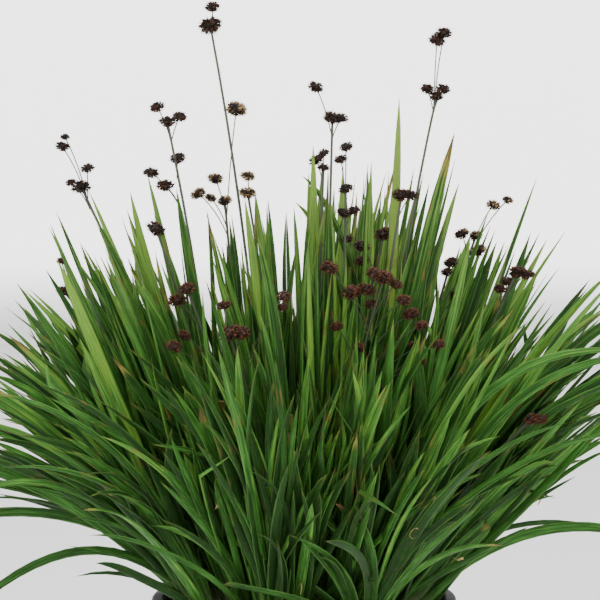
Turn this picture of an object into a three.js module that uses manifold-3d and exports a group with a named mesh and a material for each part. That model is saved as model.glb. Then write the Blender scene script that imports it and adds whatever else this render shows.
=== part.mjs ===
// A swordleaf rush growing in a black nursery pot: the pot, its compost, leaf fans and flower stems.
// Millimetres, +Z up. The origin is the centre of the pot's underside, and the front faces -Y.

import * as THREE from "three";
import { mergeVertices } from "three/addons/utils/BufferGeometryUtils.js";
import Module from "manifold-3d";

const wasm = await Module();
wasm.setup();

// Driving dimensions of the pot: a round 13 cm nursery pot.
const POT = {
  height: 105,
  rimRadius: 65,
  baseRadius: 47,
  wall: 1.8,
  floor: 2.2,
  lipWidth: 3.4,
  lipDepth: 9,
  sides: 32,
  holes: 5,
  holeRadius: 4.5,
  holeRing: 34,
};
const COMPOST_TOP = 92;
const GAP = 0.3;

// Driving dimensions of the plant.
const FANS = 36;
const BED_RADIUS = 47;
const LEAVES_PER_FAN = 4;
const LEAF_LENGTH = 192;
const LEAF_THICKNESS = 0.9;
const SHEATH = { length: 38, halfWidth: 3.5, halfThickness: 2.4, leafFoot: 3 };
const STEM_RADIUS = { foot: 1.0, top: 0.65, stalk: 0.5 };
const STALK = { rise: 5, steepness: 1.1 };
const CLEARANCE = 0.55;
const RIM_MARGIN = 1;
const GOLDEN_TURN = Math.PI * (3 - Math.sqrt(5));

// Where a leaf or stem is measured along its length, and a leaf's width there as a share of its
// widest. Leaves deeper in the clump have fewer stations.
const STATIONS = [0, 0.3, 0.56, 0.8, 1];
const TAPER = [0.8, 1, 0.94, 0.6, 0];
const INNER_STATIONS = [0, 0.38, 0.74, 1];
const INNER_TAPER = [0.8, 1, 0.72, 0];
const STEM_STATIONS = [0, 0.5, 1];

// Leaves that make the outline and the front of the clump: tip x, y, z, then full width and arch.
// Arch is how far the middle of the leaf is lifted, as a share of the leaf's length.
const SHOWN_LEAVES = [
  [-107, -25, 264, 4.2, 0.05],
  [-107, 45, 268, 3.2, 0.03],
  [-87, -50, 281, 4.6, 0.05],
  [-99, -60, 253, 5.8, 0.08],
  [-112, 20, 243, 4.4, 0.08],
  [-80, 50, 268, 3.0, 0.03],
  [-71, -30, 280, 5.2, 0.03],
  [-71, 25, 284, 4.6, 0.03],
  [-51, -55, 282, 5.0, 0.03],
  [-42, -35, 271, 4.6, 0.06],
  [-24, -50, 278, 5.0, 0.04],
  [-22, 30, 277, 4.4, 0.03],
  [-16, 55, 273, 3.0, 0.02],
  [-8, 60, 266, 2.6, 0.02],
  [2, -35, 299, 5.6, 0.02],
  [2, 35, 285, 4.0, 0.12],
  [-3, -20, 273, 4.2, 0.16],
  [29, 20, 290, 4.2, 0.02],
  [25, -40, 278, 2.6, 0.03],
  [36, 55, 277, 2.6, 0.02],
  [40, 45, 289, 3.4, 0.02],
  [40, -20, 318, 5.4, 0.02],
  [60, 30, 283, 3.2, 0.05],
  [61, -45, 304, 6.8, 0.03],
  [101, 25, 283, 3.6, 0.04],
  [83, -30, 259, 4.0, 0.05],
  [83, 45, 261, 2.6, 0.04],
  [67, -55, 261, 4.8, 0.05],
  [78, 15, 251, 4.0, 0.05],
  [95, 55, 250, 2.4, 0.05],
  [126, -35, 248, 4.6, 0.14],
  [152, -60, 219, 5.2, 0.24],
  [158, -50, 208, 6.4, 0.1],
  [110, 25, 159, 3.8, 0.05],
  [120, 45, 150, 2.4, 0.06],
  [105, -25, 151, 2.4, 0.25],
  [150, -45, 136, 4.6, 0.38],
  [146, 35, 122, 2.4, 0.38],
  [92, -50, 142, 2.8, 0.12],
  [79, -70, 139, 4.6, 0.28],
  [135, 40, 230, 4.0, 0.1],
  [143, 60, 219, 3.8, 0.1],
  [-140, -50, 206, 5.2, 0.22],
  [-141, 40, 167, 3.2, 0.1],
  [-162, -35, 170, 6.2, 0.22],
  [-145, 25, 139, 2.4, 0.3],
  [-158, -30, 140, 4.8, 0.32],
  [-145, -45, 98, 3.8, 0.6],
  [-84, -60, 129, 4.2, 0.2],
  [-87, -85, 155, 6.6, 0.34],
  [-123, 30, 230, 3.4, 0.06],
  [-110, -15, 234, 3.0, 0.06],
  [-125, 5, 223, 3.0, 0.06],
  [-122, -45, 221, 4.6, 0.16],
  [29, -75, 225, 3.2, 0.03],
  [28, -85, 212, 5.2, 0.05],
  [21, -80, 220, 4.6, 0.05],
  [5, -90, 194, 4.8, 0.05],
  [29, -92, 171, 4.2, 0.05],
  [23, -88, 189, 4.2, 0.06],
  [3, -90, 162, 4.6, 0.03],
  [44, -70, 222, 3.4, 0.06],
  [55, -80, 194, 3.8, 0.08],
  [55, -60, 183, 3.6, 0.08],
  [-40, -80, 197, 6.2, 0.14],
  [-50, -88, 188, 3.6, 0.05],
  [-36, -92, 170, 3.2, 0.04],
  [-10, -85, 143, 4.4, 0.02],
  [-30, -90, 131, 4.4, 0.08],
  [-132, 0, 196, 4.0, 0.14],
  [-128, -60, 186, 4.4, 0.16],
  [-120, 20, 205, 3.4, 0.08],
  [-134, 15, 182, 3.4, 0.14],
  [-118, -40, 160, 3.6, 0.2],
  [-104, -60, 196, 4.2, 0.12],
  [-96, 0, 210, 4.0, 0.08],
  [-112, -20, 186, 4.0, 0.12],
  [118, -10, 214, 4.0, 0.12],
  [124, 20, 196, 3.6, 0.12],
  [112, -60, 196, 4.4, 0.14],
  [128, -30, 176, 4.0, 0.16],
  [104, 0, 232, 4.0, 0.08],
  [98, -50, 222, 4.0, 0.1],
  [116, 50, 178, 3.4, 0.12],
  [100, -40, 176, 4.0, 0.14],
];

// Flower stems: foot x, y on the compost, the depth y of the heads, and each head's x, z and radius.
// The stem itself runs up to the first head, and the others are on stalks from near its top.
const FLOWER_STEMS = [
  { foot: [-14, 12], y: 20, heads: [[-40, 348, 3.7], [-39, 356, 2.8]] },
  {
    foot: [-22, -8],
    y: -15,
    heads: [[-33, 275, 2.8], [-28, 313, 3.3], [-37, 284, 2.5], [-44, 278, 2.4], [-39, 276, 2.2]],
  },
  { foot: [-7, 2], y: 10, heads: [[-24, 277, 3.0], [-24, 284, 2.6]] },
  {
    foot: [-30, -14],
    y: -30,
    heads: [
      [-56, 308, 3.1],
      [-51, 310, 2.3],
      [-60, 314, 2.5],
      [-52, 293, 2.7],
      [-63, 287, 2.3],
      [-57, 282, 3.3],
    ],
  },
  { foot: [-26, -30], y: -45, heads: [[-60, 265, 3.1]] },
  {
    foot: [-42, 2],
    y: 0,
    heads: [[-94, 280, 2.9], [-102, 297, 2.4], [-91, 288, 2.4]],
  },
  { foot: [-38, 22], y: 35, heads: [[-105, 233, 2.4], [-106, 246, 2.0]] },
  {
    foot: [-16, -42],
    y: -60,
    heads: [[-47, 242, 3.0], [-51, 237, 3.0], [-48, 223, 2.6], [-52, 219, 2.5]],
  },
  { foot: [-6, -47], y: -70, heads: [[-30, 225, 3.5], [-25, 225, 3.3]] },
  { foot: [8, 6], y: 5, heads: [[12, 309, 3.0], [16, 309, 2.2], [5, 322, 2.4]] },
  { foot: [4, -14], y: -20, heads: [[8, 289, 2.2], [5, 292, 2.7], [8, 295, 2.3]] },
  {
    foot: [14, -28],
    y: -35,
    heads: [[17, 281, 2.5], [15, 293, 2.4], [17, 298, 2.1], [16, 271, 2.1], [20, 272, 2.1]],
  },
  {
    foot: [28, 12],
    y: 25,
    heads: [[57, 318, 2.8], [53, 321, 2.8], [60, 321, 2.6], [60, 345, 2.7], [57, 342, 2.8]],
  },
  { foot: [22, -20], y: -30, heads: [[40, 278, 2.9], [44, 278, 2.9]] },
  {
    foot: [16, -8],
    y: -15,
    heads: [[33, 261, 3.5], [24, 256, 2.9], [18, 259, 2.0], [24, 250, 2.4]],
  },
  {
    foot: [36, -2],
    y: -10,
    heads: [
      [72, 260, 2.5],
      [73, 254, 2.9],
      [66, 261, 2.6],
      [79, 273, 2.7],
      [85, 275, 2.1],
    ],
  },
  { foot: [34, 10], y: 15, heads: [[63, 247, 2.8], [61, 243, 2.2], [69, 240, 2.6], [66, 232, 2.6]] },
  {
    foot: [44, -12],
    y: -25,
    heads: [[88, 246, 3.3], [92, 245, 2.4], [84, 242, 2.5], [81, 239, 2.4]],
  },
  { foot: [38, -28], y: -50, heads: [[92, 188, 3.0], [96, 188, 2.4]] },
  {
    foot: [8, -38],
    y: -55,
    heads: [
      [32, 246, 3.8],
      [28, 248, 2.5],
      [19, 240, 3.0],
      [25, 241, 2.8],
      [27, 235, 2.4],
      [37, 243, 2.5],
      [40, 237, 2.9],
      [10, 250, 3.0],
    ],
  },
];

const COLOURS = {
  pot: [0x17181a, 0.55],
  compost: [0x2a1d14, 0.95],
  leaf: [0x3f7a24, 0.5],
  stem: [0x4a5a30, 0.6],
};

const UP = new THREE.Vector3(0, 0, 1);

// A repeatable run of random numbers.
class Dice {
  constructor(seed) {
    this.state = seed;
  }

  between(low, high) {
    this.state = (this.state * 16807) % 2147483647;
    return low + ((high - low) * this.state) / 2147483647;
  }
}

const point = (x, y, z) => new THREE.Vector3(x, y, z);

// A strand is what any leaf, sheath, stem or stalk is to its neighbours: points along a curve, and at
// each one a side direction, a face direction and half the width and thickness.
function strand(points, halfWidths, halfThicknesses, facing, twist = 0) {
  const rings = points.map((at, i) => {
    const before = points[Math.max(i - 1, 0)];
    const after = points[Math.min(i + 1, points.length - 1)];
    const along = after.clone().sub(before).normalize();
    const side = facing.clone().cross(along).normalize();
    const face = along.clone().cross(side);
    const turn = (twist * i) / (points.length - 1);
    return {
      at,
      side: side.clone().multiplyScalar(Math.cos(turn)).addScaledVector(face, Math.sin(turn)),
      face: face.clone().multiplyScalar(Math.cos(turn)).addScaledVector(side, -Math.sin(turn)),
      halfWidth: halfWidths[i],
      halfThickness: halfThicknesses[i],
    };
  });
  const reach = Math.max(...halfWidths) + CLEARANCE;
  const box = new THREE.Box3().setFromPoints(points).expandByScalar(reach);
  return { rings, box };
}

// The points of a quadratic curve at the leaf stations.
function curvePoints(foot, control, tip, stations = STATIONS) {
  const curve = new THREE.QuadraticBezierCurve3(foot, control, tip);
  return stations.map((t) => curve.getPoint(t));
}

// How far a strand's section reaches in a direction, about the middle of one of its segments.
function extent(a, b, direction) {
  const width = Math.max(a.halfWidth, b.halfWidth);
  const thickness = Math.max(a.halfThickness, b.halfThickness);
  const side = a.side.clone().add(b.side).normalize();
  const face = a.face.clone().add(b.face).normalize();
  return Math.abs(side.dot(direction)) * width + Math.abs(face.dot(direction)) * thickness;
}

// The shortest way from segment a1-a2 to segment b1-b2.
function shortestWay(a1, a2, b1, b2) {
  const along = a2.clone().sub(a1);
  const other = b2.clone().sub(b1);
  const offset = a1.clone().sub(b1);
  const [a, e, f] = [along.dot(along), other.dot(other), other.dot(offset)];
  const [b, c] = [along.dot(other), along.dot(offset)];
  const clamp = (x) => Math.min(Math.max(x, 0), 1);
  const skew = a * e - b * b;
  let s = skew > 1e-9 * a * e ? clamp((b * f - c * e) / skew) : 0;
  let t = (b * s + f) / e;
  if (t < 0) {
    t = 0;
    s = clamp(-c / a);
  } else if (t > 1) {
    t = 1;
    s = clamp((b - c) / a);
  }
  return other.multiplyScalar(t).add(b1).sub(along.multiplyScalar(s).add(a1));
}

// Whether two strands stand clear of each other: some straight gap parts each pair of segments.
// Strands of one piece are joined at the foot, so they are compared from a later ring on.
function standClear(one, other, first = 1) {
  if (!one.box.intersectsBox(other.box)) return true;
  for (let i = first; i < one.rings.length; i += 1) {
    for (let j = first; j < other.rings.length; j += 1) {
      const [a, b] = [one.rings[i - 1], one.rings[i]];
      const [c, d] = [other.rings[j - 1], other.rings[j]];
      const way = shortestWay(a.at, b.at, c.at, d.at);
      const distance = way.length();
      const direction = way.divideScalar(Math.max(distance, 1e-9));
      if (distance < extent(a, b, direction) + extent(c, d, direction) + CLEARANCE) return false;
    }
  }
  return true;
}

// Everything that has grown so far, as pieces that each hold strands.
class Clump {
  constructor() {
    this.pieces = [];
  }

  hasRoomFor(candidate, piece) {
    if (turnsOver(candidate)) return false;
    return this.pieces.every((other) => {
      const first = other === piece ? 2 : 1;
      return other.strands.every((grown) => standClear(candidate, grown, first));
    });
  }
}

// The pot's inner radius at its rim.
const MOUTH_RADIUS = POT.rimRadius - POT.lipWidth - POT.wall;

// Whether a leaf meets the pot's rim or wall on its way out.
function meetsRim({ rings }) {
  for (let i = 1; i < rings.length; i += 1) {
    for (const u of [-1, 0, 1]) {
      const [from, to] = [rings[i - 1], rings[i]].map((ring) => ringPoints(ring, [[u, 0]])[0]);
      for (let t = 0; t <= 1; t += 0.05) {
        const at = from.clone().lerp(to, t);
        const radius = Math.hypot(at.x, at.y);
        const slope = ((POT.rimRadius - POT.baseRadius) * (POT.height - at.z)) / POT.height;
        const inside = radius < MOUTH_RADIUS - Math.max(slope, 0) - RIM_MARGIN;
        const outside = radius > POT.rimRadius + RIM_MARGIN;
        if (!inside && !outside && at.z < POT.height + RIM_MARGIN) return true;
      }
    }
  }
  return false;
}

// Whether a strand turns over sharply between two of its rings.
function turnsOver({ rings }) {
  return rings.some((ring, i) => i > 0 && ring.side.dot(rings[i - 1].side) < 0.7);
}

// A leaf from its foot to its tip. One that would meet the rim stands up more before it bends.
function growLeaf(foot, tip, width, arch, sway, facing, twist, inner = false) {
  const taper = inner ? INNER_TAPER : TAPER;
  const halfWidths = taper.map((share) => (share * width) / 2);
  const halfThicknesses = taper.map((share) => (share * LEAF_THICKNESS) / 2);
  const chord = tip.clone().sub(foot);
  const length = chord.length();
  const along = chord.clone().normalize();
  const flat = facing.clone().addScaledVector(along, -facing.dot(along)).normalize();
  for (let lift = arch; ; lift += 0.04) {
    const control = foot.clone().addScaledVector(chord, 0.45).addScaledVector(UP, lift * length);
    control.addScaledVector(sway, length);
    const points = curvePoints(foot, control, tip, inner ? INNER_STATIONS : STATIONS);
    const leaf = strand(points, halfWidths, halfThicknesses, flat, twist);
    if (lift > 1.2 || !meetsRim(leaf)) return leaf;
  }
}

// A stalk whose last point is the middle of a round head: it swells from its own radius to the
// head's and closes to a point.
function withHead(points, radii, radius, facing) {
  const middle = points[points.length - 1];
  const along = middle.clone().sub(points[points.length - 2]).normalize();
  const under = middle.clone().addScaledVector(along, -radius);
  const over = middle.clone().addScaledVector(along, radius);
  const all = [...radii, radius, 0];
  return strand([...points.slice(0, -1), under, middle, over], all, all, facing);
}

// The point of a stem at a height.
function stemPoint(points, z) {
  const i = points.findIndex((p, k) => k > 0 && (p.z >= z || k === points.length - 1));
  const [low, high] = [points[i - 1], points[i]];
  return low.clone().lerp(high, Math.min(Math.max((z - low.z) / (high.z - low.z), 0), 1));
}

// A flower stem: the stem itself with its head, and a stalk with each further head. A stalk leaves
// the stem below its head and rises to it.
function growFlowerStem(number, { foot, y, heads }, dice) {
  const start = point(foot[0], foot[1], COMPOST_TOP + 2 * GAP);
  const top = point(heads[0][0], y, heads[0][1]);
  const control = point(foot[0] * 1.15, foot[1] * 0.6 + y * 0.4, (start.z + top.z) / 2);
  const facing = point(0.3, -1, 0).normalize();
  const thinning = STEM_RADIUS.top - STEM_RADIUS.foot;
  const radii = STEM_STATIONS.map((t) => STEM_RADIUS.foot + thinning * t);
  const points = curvePoints(start, control, top, STEM_STATIONS);
  const strands = heads.map(([x, z, radius], i) => {
    if (i === 0) return withHead(points, radii, radius, facing);
    const at = point(x, y + dice.between(-4, 4), z);
    const rise = STALK.rise + STALK.steepness * at.distanceTo(stemPoint(points, z));
    const from = stemPoint(points, z - rise);
    return withHead([from, at], [STEM_RADIUS.stalk, STEM_RADIUS.stalk], radius, facing);
  });
  return { name: `flower_stem_${String(number).padStart(2, "0")}`, strands };
}

// A fan's foot, its lean and the plane that its leaves spread in.
function growSheath(number, dice, clump) {
  const share = Math.sqrt((number + 0.5) / FANS);
  const azimuth = number * GOLDEN_TURN;
  const name = `leaf_fan_${String(number + 1).padStart(2, "0")}`;
  for (let attempt = 0; attempt < 60; attempt += 1) {
    const wander = Math.min(attempt * 0.25, 5);
    const x = BED_RADIUS * share * Math.cos(azimuth) + dice.between(-wander, wander);
    const y = BED_RADIUS * share * Math.sin(azimuth) + dice.between(-wander, wander);
    const foot = point(x, y, COMPOST_TOP + GAP);
    const leanAzimuth = azimuth + dice.between(-0.35, 0.35);
    const lean = 0.06 + 0.62 * share * share + dice.between(-0.06, 0.06);
    const axis = point(Math.cos(leanAzimuth), Math.sin(leanAzimuth), 0)
      .multiplyScalar(Math.sin(lean * 0.5))
      .addScaledVector(UP, Math.cos(lean * 0.5));
    const plane = azimuth + Math.PI / 2 + dice.between(-0.9, 0.9);
    const spread = point(Math.cos(plane), Math.sin(plane), 0);
    const facing = spread.clone().cross(UP);
    const points = [0, 1].map((t) => foot.clone().addScaledVector(axis, t * SHEATH.length));
    const halfWidths = [SHEATH.halfWidth, SHEATH.halfWidth * 0.7];
    const halfThicknesses = [SHEATH.halfThickness, SHEATH.halfThickness * 0.5];
    const sheath = strand(points, halfWidths, halfThicknesses, facing);
    const side = facing.clone().cross(UP);
    for (const ring of sheath.rings) Object.assign(ring, { side, face: facing });
    const piece = { name, strands: [sheath], foot, axis, spread, facing, lean, leanAzimuth };
    if (Math.hypot(x, y) < BED_RADIUS + 3 && clump.hasRoomFor(sheath, piece)) return piece;
  }
  throw new Error(`${name} finds no room on the compost`);
}

// A shown leaf grows from one of the fans that stand most nearly under it.
function growShownLeaf([x, y, z, width, arch], fans, dice, clump) {
  const under = point(x, y, 0).multiplyScalar(0.34);
  under.clampLength(0, BED_RADIUS);
  const distance = (fan) => Math.hypot(fan.foot.x - under.x, fan.foot.y - under.y);
  const nearest = fans
    .filter((fan) => fan.strands.length <= LEAVES_PER_FAN)
    .sort((a, b) => distance(a) - distance(b));
  for (let attempt = 0; attempt < 120; attempt += 1) {
    const fan = nearest[Math.floor(attempt / 8) % nearest.length];
    const foot = fan.foot.clone().addScaledVector(fan.axis, SHEATH.leafFoot);
    const tip = point(x, y + dice.between(-9, 9), z);
    const sway = point(dice.between(-0.05, 0.05), dice.between(-0.05, 0.05), 0);
    const turn = dice.between(-0.7, 0.7);
    const facing = point(Math.sin(turn), -Math.cos(turn), 0);
    const twist = dice.between(-0.5, 0.5);
    const leaf = growLeaf(foot, tip, width, arch, sway, facing, twist, arch < 0.09);
    if (clump.hasRoomFor(leaf, fan)) {
      fan.strands.push(leaf);
      return true;
    }
  }
  return false;
}

// The rest of a fan's leaves spread in the fan's own plane.
function fillFan(fan, dice, clump) {
  for (let attempt = 0; attempt < 70 && fan.strands.length <= LEAVES_PER_FAN; attempt += 1) {
    const foot = fan.foot.clone().addScaledVector(fan.axis, SHEATH.leafFoot);
    const out = point(Math.cos(fan.leanAzimuth), Math.sin(fan.leanAzimuth), 0);
    const lean = Math.tan(fan.lean * dice.between(0.7, 1.75));
    const chord = UP.clone().addScaledVector(out, lean);
    chord.addScaledVector(fan.spread, dice.between(-0.42, 0.42)).normalize();
    const steepness = chord.z;
    const length = LEAF_LENGTH * dice.between(0.62, 1) * (0.62 + 0.38 * steepness);
    const tip = foot.clone().addScaledVector(chord, length);
    const arch = 0.03 + 0.3 * (1 - steepness) * dice.between(0.6, 1.6);
    const sway = point(dice.between(-0.05, 0.05), dice.between(-0.05, 0.05), 0);
    const width = dice.between(3, 5.4);
    const twist = dice.between(-0.9, 0.9);
    const leaf = growLeaf(foot, tip, width, arch, sway, fan.facing, twist, true);
    if (clump.hasRoomFor(leaf, fan)) fan.strands.push(leaf);
  }
}

// The whole plant, grown in order: flower stems, sheaths, shown leaves, then the leaves between.
function growPlant() {
  const dice = new Dice(20611);
  const clump = new Clump();
  const stems = FLOWER_STEMS.map((stem, i) => growFlowerStem(i + 1, stem, dice));
  clump.pieces.push(...stems);
  const fans = [];
  for (let i = 0; i < FANS; i += 1) {
    const fan = growSheath(i, dice, clump);
    fans.push(fan);
    clump.pieces.push(fan);
  }
  for (const leaf of SHOWN_LEAVES) growShownLeaf(leaf, fans, dice, clump);
  for (const fan of fans) fillFan(fan, dice, clump);
  return { stems, fans };
}

// A closed mesh through rings of equally many points. A ring of one point closes an end to a tip.
function loft(rings) {
  const positions = rings.flat().flatMap((at) => [at.x, at.y, at.z]);
  const index = [];
  const starts = rings.map((ring, i) => rings.slice(0, i).reduce((sum, r) => sum + r.length, 0));
  for (let i = 1; i < rings.length; i += 1) {
    const [low, high] = [rings[i - 1], rings[i]];
    for (let k = 0; k < low.length; k += 1) {
      const next = (k + 1) % low.length;
      const [a, b] = [starts[i - 1] + k, starts[i - 1] + next];
      if (high.length === 1) index.push(a, b, starts[i]);
      else index.push(a, b, starts[i] + next, a, starts[i] + next, starts[i] + k);
    }
  }
  const caps = rings[rings.length - 1].length > 1 ? [0, rings.length - 1] : [0];
  for (const i of caps) {
    for (let k = 2; k < rings[i].length; k += 1) {
      const fan = [starts[i], starts[i] + k - 1, starts[i] + k];
      index.push(...(i === 0 ? fan.reverse() : fan));
    }
  }
  const geometry = new THREE.BufferGeometry();
  geometry.setAttribute("position", new THREE.Float32BufferAttribute(positions, 3));
  return geometry.setIndex(index);
}

// The points of one ring round a strand: corners are [side, face] in half widths and thicknesses.
function ringPoints({ at, side, face, halfWidth, halfThickness }, corners) {
  if (halfWidth === 0) return [at.clone()];
  return corners.map(([u, v]) =>
    at.clone().addScaledVector(side, u * halfWidth).addScaledVector(face, v * halfThickness),
  );
}

const BLADE = [[1, -0.6], [0, 1], [-1, -0.6]];
const SHEATH_SECTION = [[1, 0], [0, 1], [-1, 0], [0, -1]];
const ROUND = [[1, 0], [0, 1], [-1, 0], [0, -1]];

const sweep = (grown, corners) => loft(grown.rings.map((ring) => ringPoints(ring, corners)));

// A geometry as a solid that can be joined and cut.
function solid(geometry) {
  const bare = geometry.clone();
  bare.deleteAttribute("normal");
  bare.deleteAttribute("uv");
  const merged = mergeVertices(bare, 1e-4);
  const made = new wasm.Manifold(
    new wasm.Mesh({
      numProp: 3,
      vertProperties: merged.attributes.position.array,
      triVerts: new Uint32Array(merged.index.array),
    }),
  );
  if (made.volume() <= 0) throw new Error("a solid's faces point inwards");
  return made;
}

// A named mesh of one solid.
function mesh(name, made, [colour, roughness]) {
  const { vertProperties, triVerts, numProp } = made.getMesh();
  const geometry = new THREE.BufferGeometry();
  const positions = new THREE.BufferAttribute(new Float32Array(vertProperties), numProp);
  geometry.setAttribute("position", positions);
  geometry.setIndex(new THREE.BufferAttribute(new Uint32Array(triVerts), 1));
  geometry.computeVertexNormals();
  const material = new THREE.MeshStandardMaterial({ color: colour, roughness, metalness: 0 });
  const made3d = new THREE.Mesh(geometry, material);
  made3d.name = name;
  return made3d;
}

// Turns a profile of radius and height round the Z axis.
function turned(profile) {
  const points = profile.map(([radius, height]) => new THREE.Vector2(radius, height));
  return new THREE.LatheGeometry(points, POT.sides).rotateX(Math.PI / 2);
}

// The wall's outer radius at a height.
const potRadius = (z) =>
  POT.baseRadius + (POT.rimRadius - POT.lipWidth - POT.baseRadius) * (z / POT.height);

// A thin-walled pot with a turned-down lip round its rim and drain holes in its floor.
function makePot() {
  const { height, rimRadius, wall, floor, lipDepth, lipWidth } = POT;
  const lipFoot = height - lipDepth;
  const shell = solid(
    turned([
      [0, 0],
      [potRadius(0), 0],
      [potRadius(lipFoot), lipFoot],
      [rimRadius - 0.8, lipFoot],
      [rimRadius, height - 1],
      [rimRadius - 1, height],
      [rimRadius - lipWidth - wall + 0.6, height],
      [potRadius(lipFoot) - wall, lipFoot],
      [potRadius(floor) - wall, floor],
      [0, floor],
    ]),
  );
  const holes = Array.from({ length: POT.holes }, (_, i) => {
    const turn = (2 * Math.PI * (i + 0.5)) / POT.holes;
    const drill = new THREE.CylinderGeometry(POT.holeRadius, POT.holeRadius, 3 * floor, 12);
    drill.rotateX(Math.PI / 2);
    return solid(drill.translate(POT.holeRing * Math.cos(turn), POT.holeRing * Math.sin(turn), 0));
  });
  return mesh("pot", shell.subtract(wasm.Manifold.union(holes)), COLOURS.pot);
}

// The compost fills the pot, a gap inside its walls.
function makeCompost() {
  const inside = (z) => potRadius(z) - POT.wall - GAP;
  const foot = POT.floor + GAP;
  const block = turned([
    [0, foot],
    [inside(foot), foot],
    [inside(COMPOST_TOP), COMPOST_TOP],
    [0, COMPOST_TOP],
  ]);
  return mesh("compost", solid(block), COLOURS.compost);
}

// A fan of sword-shaped leaves that sheathe each other at the foot.
function makeFan({ name, strands }) {
  const [sheath, ...leaves] = strands;
  const blades = leaves.map((leaf) => solid(sweep(leaf, BLADE)));
  const joined = wasm.Manifold.union([solid(sweep(sheath, SHEATH_SECTION)), ...blades]);
  return mesh(name, joined, COLOURS.leaf);
}

// A flower stem with the stalks that branch from it, each ending in a round head of flowers.
function makeFlowerStem({ name, strands }) {
  const stalks = strands.map((stalk) => solid(sweep(stalk, ROUND)));
  return mesh(name, wasm.Manifold.union(stalks), COLOURS.stem);
}

const plant = growPlant();
const pottedRush = new THREE.Group();
pottedRush.add(makePot(), makeCompost());
for (const stem of plant.stems) pottedRush.add(makeFlowerStem(stem));
for (const fan of plant.fans) pottedRush.add(makeFan(fan));

export default pottedRush;
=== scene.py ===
"""A swordleaf rush in a black nursery pot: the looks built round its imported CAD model.

The plant grows here by the same rules and from the same numbers as in the CAD source, so that each
leaf and flower head lies where its solid is. Growth is worked out in millimetres and meshes are
made in metres. +Z is up, the origin is the middle of the pot's underside and the front faces -Y.
"""

import logging
import math
from collections.abc import Iterable, Sequence
from dataclasses import dataclass, field
from enum import Enum
from itertools import cycle, islice

import bmesh
import bpy
import numpy as np
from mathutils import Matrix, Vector


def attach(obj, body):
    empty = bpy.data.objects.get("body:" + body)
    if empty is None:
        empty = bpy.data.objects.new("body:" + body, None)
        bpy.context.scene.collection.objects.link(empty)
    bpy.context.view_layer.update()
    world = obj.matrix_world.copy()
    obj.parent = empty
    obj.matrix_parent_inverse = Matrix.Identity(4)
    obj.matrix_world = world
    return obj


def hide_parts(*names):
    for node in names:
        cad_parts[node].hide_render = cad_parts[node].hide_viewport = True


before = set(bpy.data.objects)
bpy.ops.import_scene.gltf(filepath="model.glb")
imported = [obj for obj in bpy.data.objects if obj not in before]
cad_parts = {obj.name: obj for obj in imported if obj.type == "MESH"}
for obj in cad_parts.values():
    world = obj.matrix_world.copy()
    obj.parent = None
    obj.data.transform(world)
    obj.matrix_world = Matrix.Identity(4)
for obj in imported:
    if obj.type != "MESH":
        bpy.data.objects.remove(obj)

Array = np.ndarray
Mesh, Piece, Material = bpy.types.Mesh, bpy.types.Object, bpy.types.Material
Socket = bpy.types.NodeSocket
Plugs = dict[str | int, object]
Span = tuple[float, float]
Colour = tuple[float, float, float]

LOG = logging.getLogger("potted_rush")
BODY = "root"

# Driving dimensions of the plant, in millimetres.
MM = 0.001
COMPOST_TOP = 92.0
GAP = 0.3
FANS = 36
BED_RADIUS = 47.0
LEAVES_PER_FAN = 4
LEAF_LENGTH = 192.0
LEAF_THICKNESS = 0.9
SHEATH_LENGTH = 38.0
SHEATH_HALF_WIDTH = 3.5
SHEATH_HALF_THICKNESS = 2.4
SHEATH_LEAF_FOOT = 3.0
STEM_FOOT_RADIUS = 1.0
STEM_TOP_RADIUS = 0.65
STALK_RADIUS = 0.5

# Where each run of random numbers starts, for the growth and then from fan to fan.
GROWTH_SEED = 20611
COLOUR_SEED = 1000
COLOUR_SEED_STEP = 37
FAN_SEED = 7000
FAN_SEED_STEP = 311

# How clear of each other and of the rim the plant's parts stay, and how sharply one may turn over.
CLEARANCE = 0.55
RIM_MARGIN = 1.0
SHARPEST_TURN = 0.7

# How a flower stem bends out from its foot, and how its stalks branch from it.
STEM_BEND = 0.4
STEM_OUTWARD = 1.15
STEM_FACING = (0.3, -1, 0)
STALK_RISE = 5.0
STALK_STEEPNESS = 1.1
STALK_DEPTH_SPREAD = 4.0

# How the fans stand: turned on from one to the next, moved a little until there is room, and
# leaning out more towards the rim. Angles are in radians.
GOLDEN_TURN = math.pi * (3 - math.sqrt(5))
FAN_TRIES = 60
FAN_WANDER_STEP = 0.25
FAN_WANDER_MOST = 5.0
BED_MARGIN = 3.0
LEAN_AT_MIDDLE = 0.06
LEAN_OUTWARDS = 0.62
LEAN_SPREAD = 0.06
LEAN_TURN_SPREAD = 0.35
PLANE_SPREAD = 0.9
SHEATH_TOP_WIDTH = 0.7
SHEATH_TOP_THICKNESS = 0.5

# How a leaf bends, and how it is lifted step by step where it would meet the rim.
BEND_PLACE = 0.45
LIFT_STEP = 0.04
LIFT_MOST = 1.2
SWAY_SPREAD = 0.05

# How a leaf of the outline is grown: the place of its foot under its tip, and its chances.
FOOT_UNDER_TIP = 0.34
SHOWN_TRIES = 120
TRIES_PER_FAN = 8
SHOWN_DEPTH_SPREAD = 9.0
SHOWN_TURN_SPREAD = 0.7
SHOWN_TWIST_SPREAD = 0.5
SPARSE_ARCH = 0.09

# How the rest of a fan's leaves is grown.
FILL_TRIES = 70
FILL_LEAN = (0.7, 1.75)
FILL_SPREAD = 0.42
FILL_LENGTH = (0.62, 1)
LEVEL_LENGTH_SHARE = 0.62
FILL_ARCH = (0.03, 0.3)
FILL_ARCH_SHARE = (0.6, 1.6)
FILL_WIDTH = (3, 5.4)
FILL_TWIST_SPREAD = 0.9

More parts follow.
